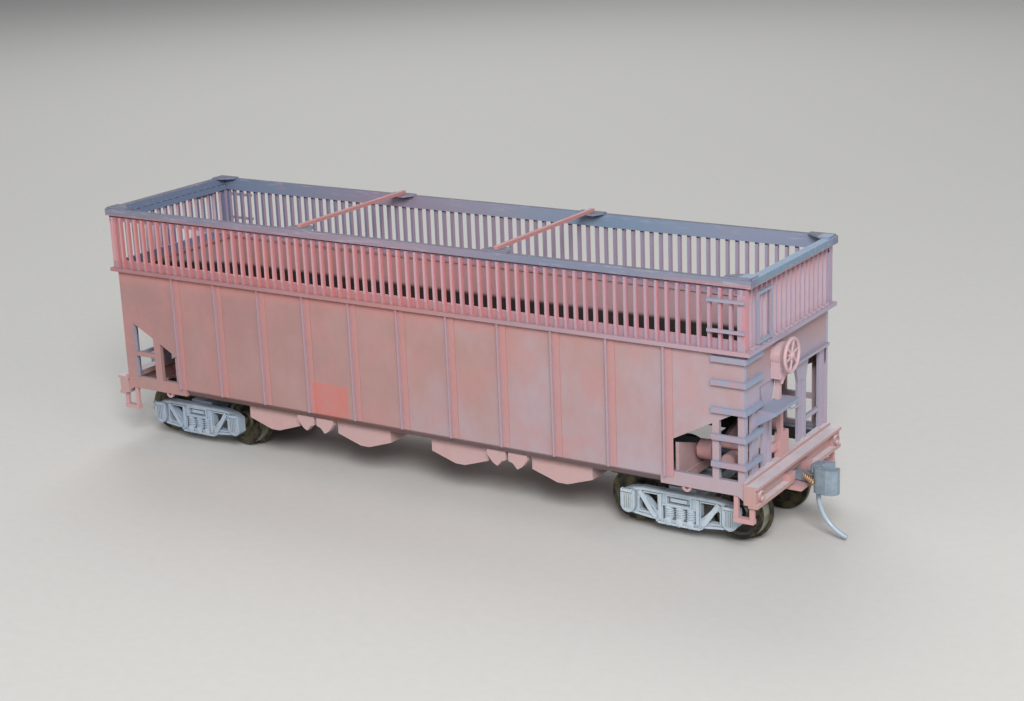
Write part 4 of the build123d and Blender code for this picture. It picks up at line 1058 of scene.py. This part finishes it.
def hopper_details():
    """Rivet rows down the hopper chutes' V-shaped side plates and along their tops."""
    start, top, run, drop, count = V_ROW
    shares = [(i + 0.5) / count for i in range(count)]
    for side_name, side in SIDES:
        rivets = Shape()
        face = side * CHUTE_FACE
        facing = (0, side, 0)
        for bay in BAYS:
            centre = bay * RIB_PITCH
            for step in (-1, 1):
                row = [(centre + step * (start - run * share), face, top - drop * share) for share in shares]
                rivets.rivet_row(row, facing)
            rivets.rivet_row([(x, face, 10.6) for x in spread(centre - 5.6, centre + 5.6, 1.0)], facing)
        rivets.piece(f"hopper_rivets_{side_name}", "root", "body_paint", "coral")


# Columns: width of the rounding in millimetres, then the start of the nodes' names
ROUNDED = (
    (0.12, ("coupler_", "knuckle_", "air_tank", "brake_gear_box", "draft_box", "sideframe", "truck_bolster")),
    (0.10, ("end_sill", "brake_post", "brake_step", "step_stirrups", "brake_cylinder",
            "hopper_chute", "hopper_doors")),
    (0.07, ("top_rail", "lower_rail", "tie_bar", "end_frame", "ladder_", "rack_grabs", "roping_eyes",
            "wheelset")),
    (0.05, ("rack_side", "rack_end", "end_sheet", "door_latches", "side_sheet")),
)


def soften_cad_nodes():
    """Rounds the edges of the CAD nodes named in the table."""
    for width, starts in ROUNDED:
        for name, piece in nodes.items():
            if name.startswith(starts):
                soften(piece, width)


def build_camera():
    """The photograph's camera, solved from points on the wagon."""
    camera_place = (189.78, -269.86, 120.43)
    turn_right = -33.193
    tilt_down = 16.249
    roll = -2.286
    focal_pixels = 1839.3
    image_width = 1024
    axis_above_centre = 10.0
    data = bpy.data.cameras.new("camera")
    data.sensor_width = 36.0
    data.lens = focal_pixels / image_width * data.sensor_width
    data.shift_y = -axis_above_centre / image_width
    data.clip_start = 0.01
    data.clip_end = 10.0
    camera = bpy.data.objects.new("camera", data)
    bpy.context.scene.collection.objects.link(camera)
    turn = Euler((0, 0, math.radians(-turn_right))).to_matrix()
    tilt = Euler((math.radians(90 - tilt_down), 0, 0)).to_matrix()
    lean = Euler((0, 0, math.radians(roll))).to_matrix()
    camera.matrix_world = Matrix.Translation(Vector(camera_place) * MM) @ (turn @ tilt @ lean).to_4x4()
    bpy.context.scene.camera = camera


# The point that the lamps face. Columns: name, place and size, all in metres, then watts.
LAMP_TARGET = Vector((0, 0, 0.025))
LAMPS = (
    ("key", (0.36, -0.46, 0.42), 0.26, 4.1),
    ("end_fill", (0.65, -0.15, 0.32), 0.35, 0.7),
    ("side_fill", (-0.30, -0.55, 0.35), 0.40, 0.6),
    ("back", (-0.35, 0.50, 0.60), 0.50, 2.4),
)


def build_floor():
    """A plain pale floor."""
    mesh = bpy.data.meshes.new("floor")
    reach = 6.0
    corners = [(-reach, -reach, 0), (reach, -reach, 0), (reach, reach, 0), (-reach, reach, 0)]
    mesh.from_pydata(corners, [], [(0, 1, 2, 3)])
    floor = bpy.data.objects.new("floor", mesh)
    bpy.context.scene.collection.objects.link(floor)
    net = Net("floor_surface", roughness=0.9)
    net.color(net.mix(net.noise(2.0, 3), srgb(0.79, 0.785, 0.77), srgb(0.82, 0.815, 0.80)))
    mesh.materials.append(net.material)


def build_light():
    """An even pale surrounding and soft studio lamps."""
    scene = bpy.context.scene
    scene.view_settings.view_transform = "Standard"
    world = bpy.data.worlds.new("world")
    world.use_nodes = True
    background = world.node_tree.nodes["Background"]
    background.inputs["Color"].default_value = (0.80, 0.82, 0.86, 1)
    background.inputs["Strength"].default_value = 0.30
    scene.world = world
    for name, place, size, power in LAMPS:
        data = bpy.data.lights.new(name, "AREA")
        data.size = size
        data.energy = power
        lamp = bpy.data.objects.new(name, data)
        lamp.location = place
        lamp.rotation_mode = "QUATERNION"
        lamp.rotation_quaternion = (LAMP_TARGET - Vector(place)).to_track_quat("-Z", "Y")
        scene.collection.objects.link(lamp)


build_camera()
build_floor()
build_light()
paint_cad_nodes()
soften_cad_nodes()
side_rivets()
truck_details()
coupler_details()
brake_details()
end_details()
rack_details()
hopper_details()
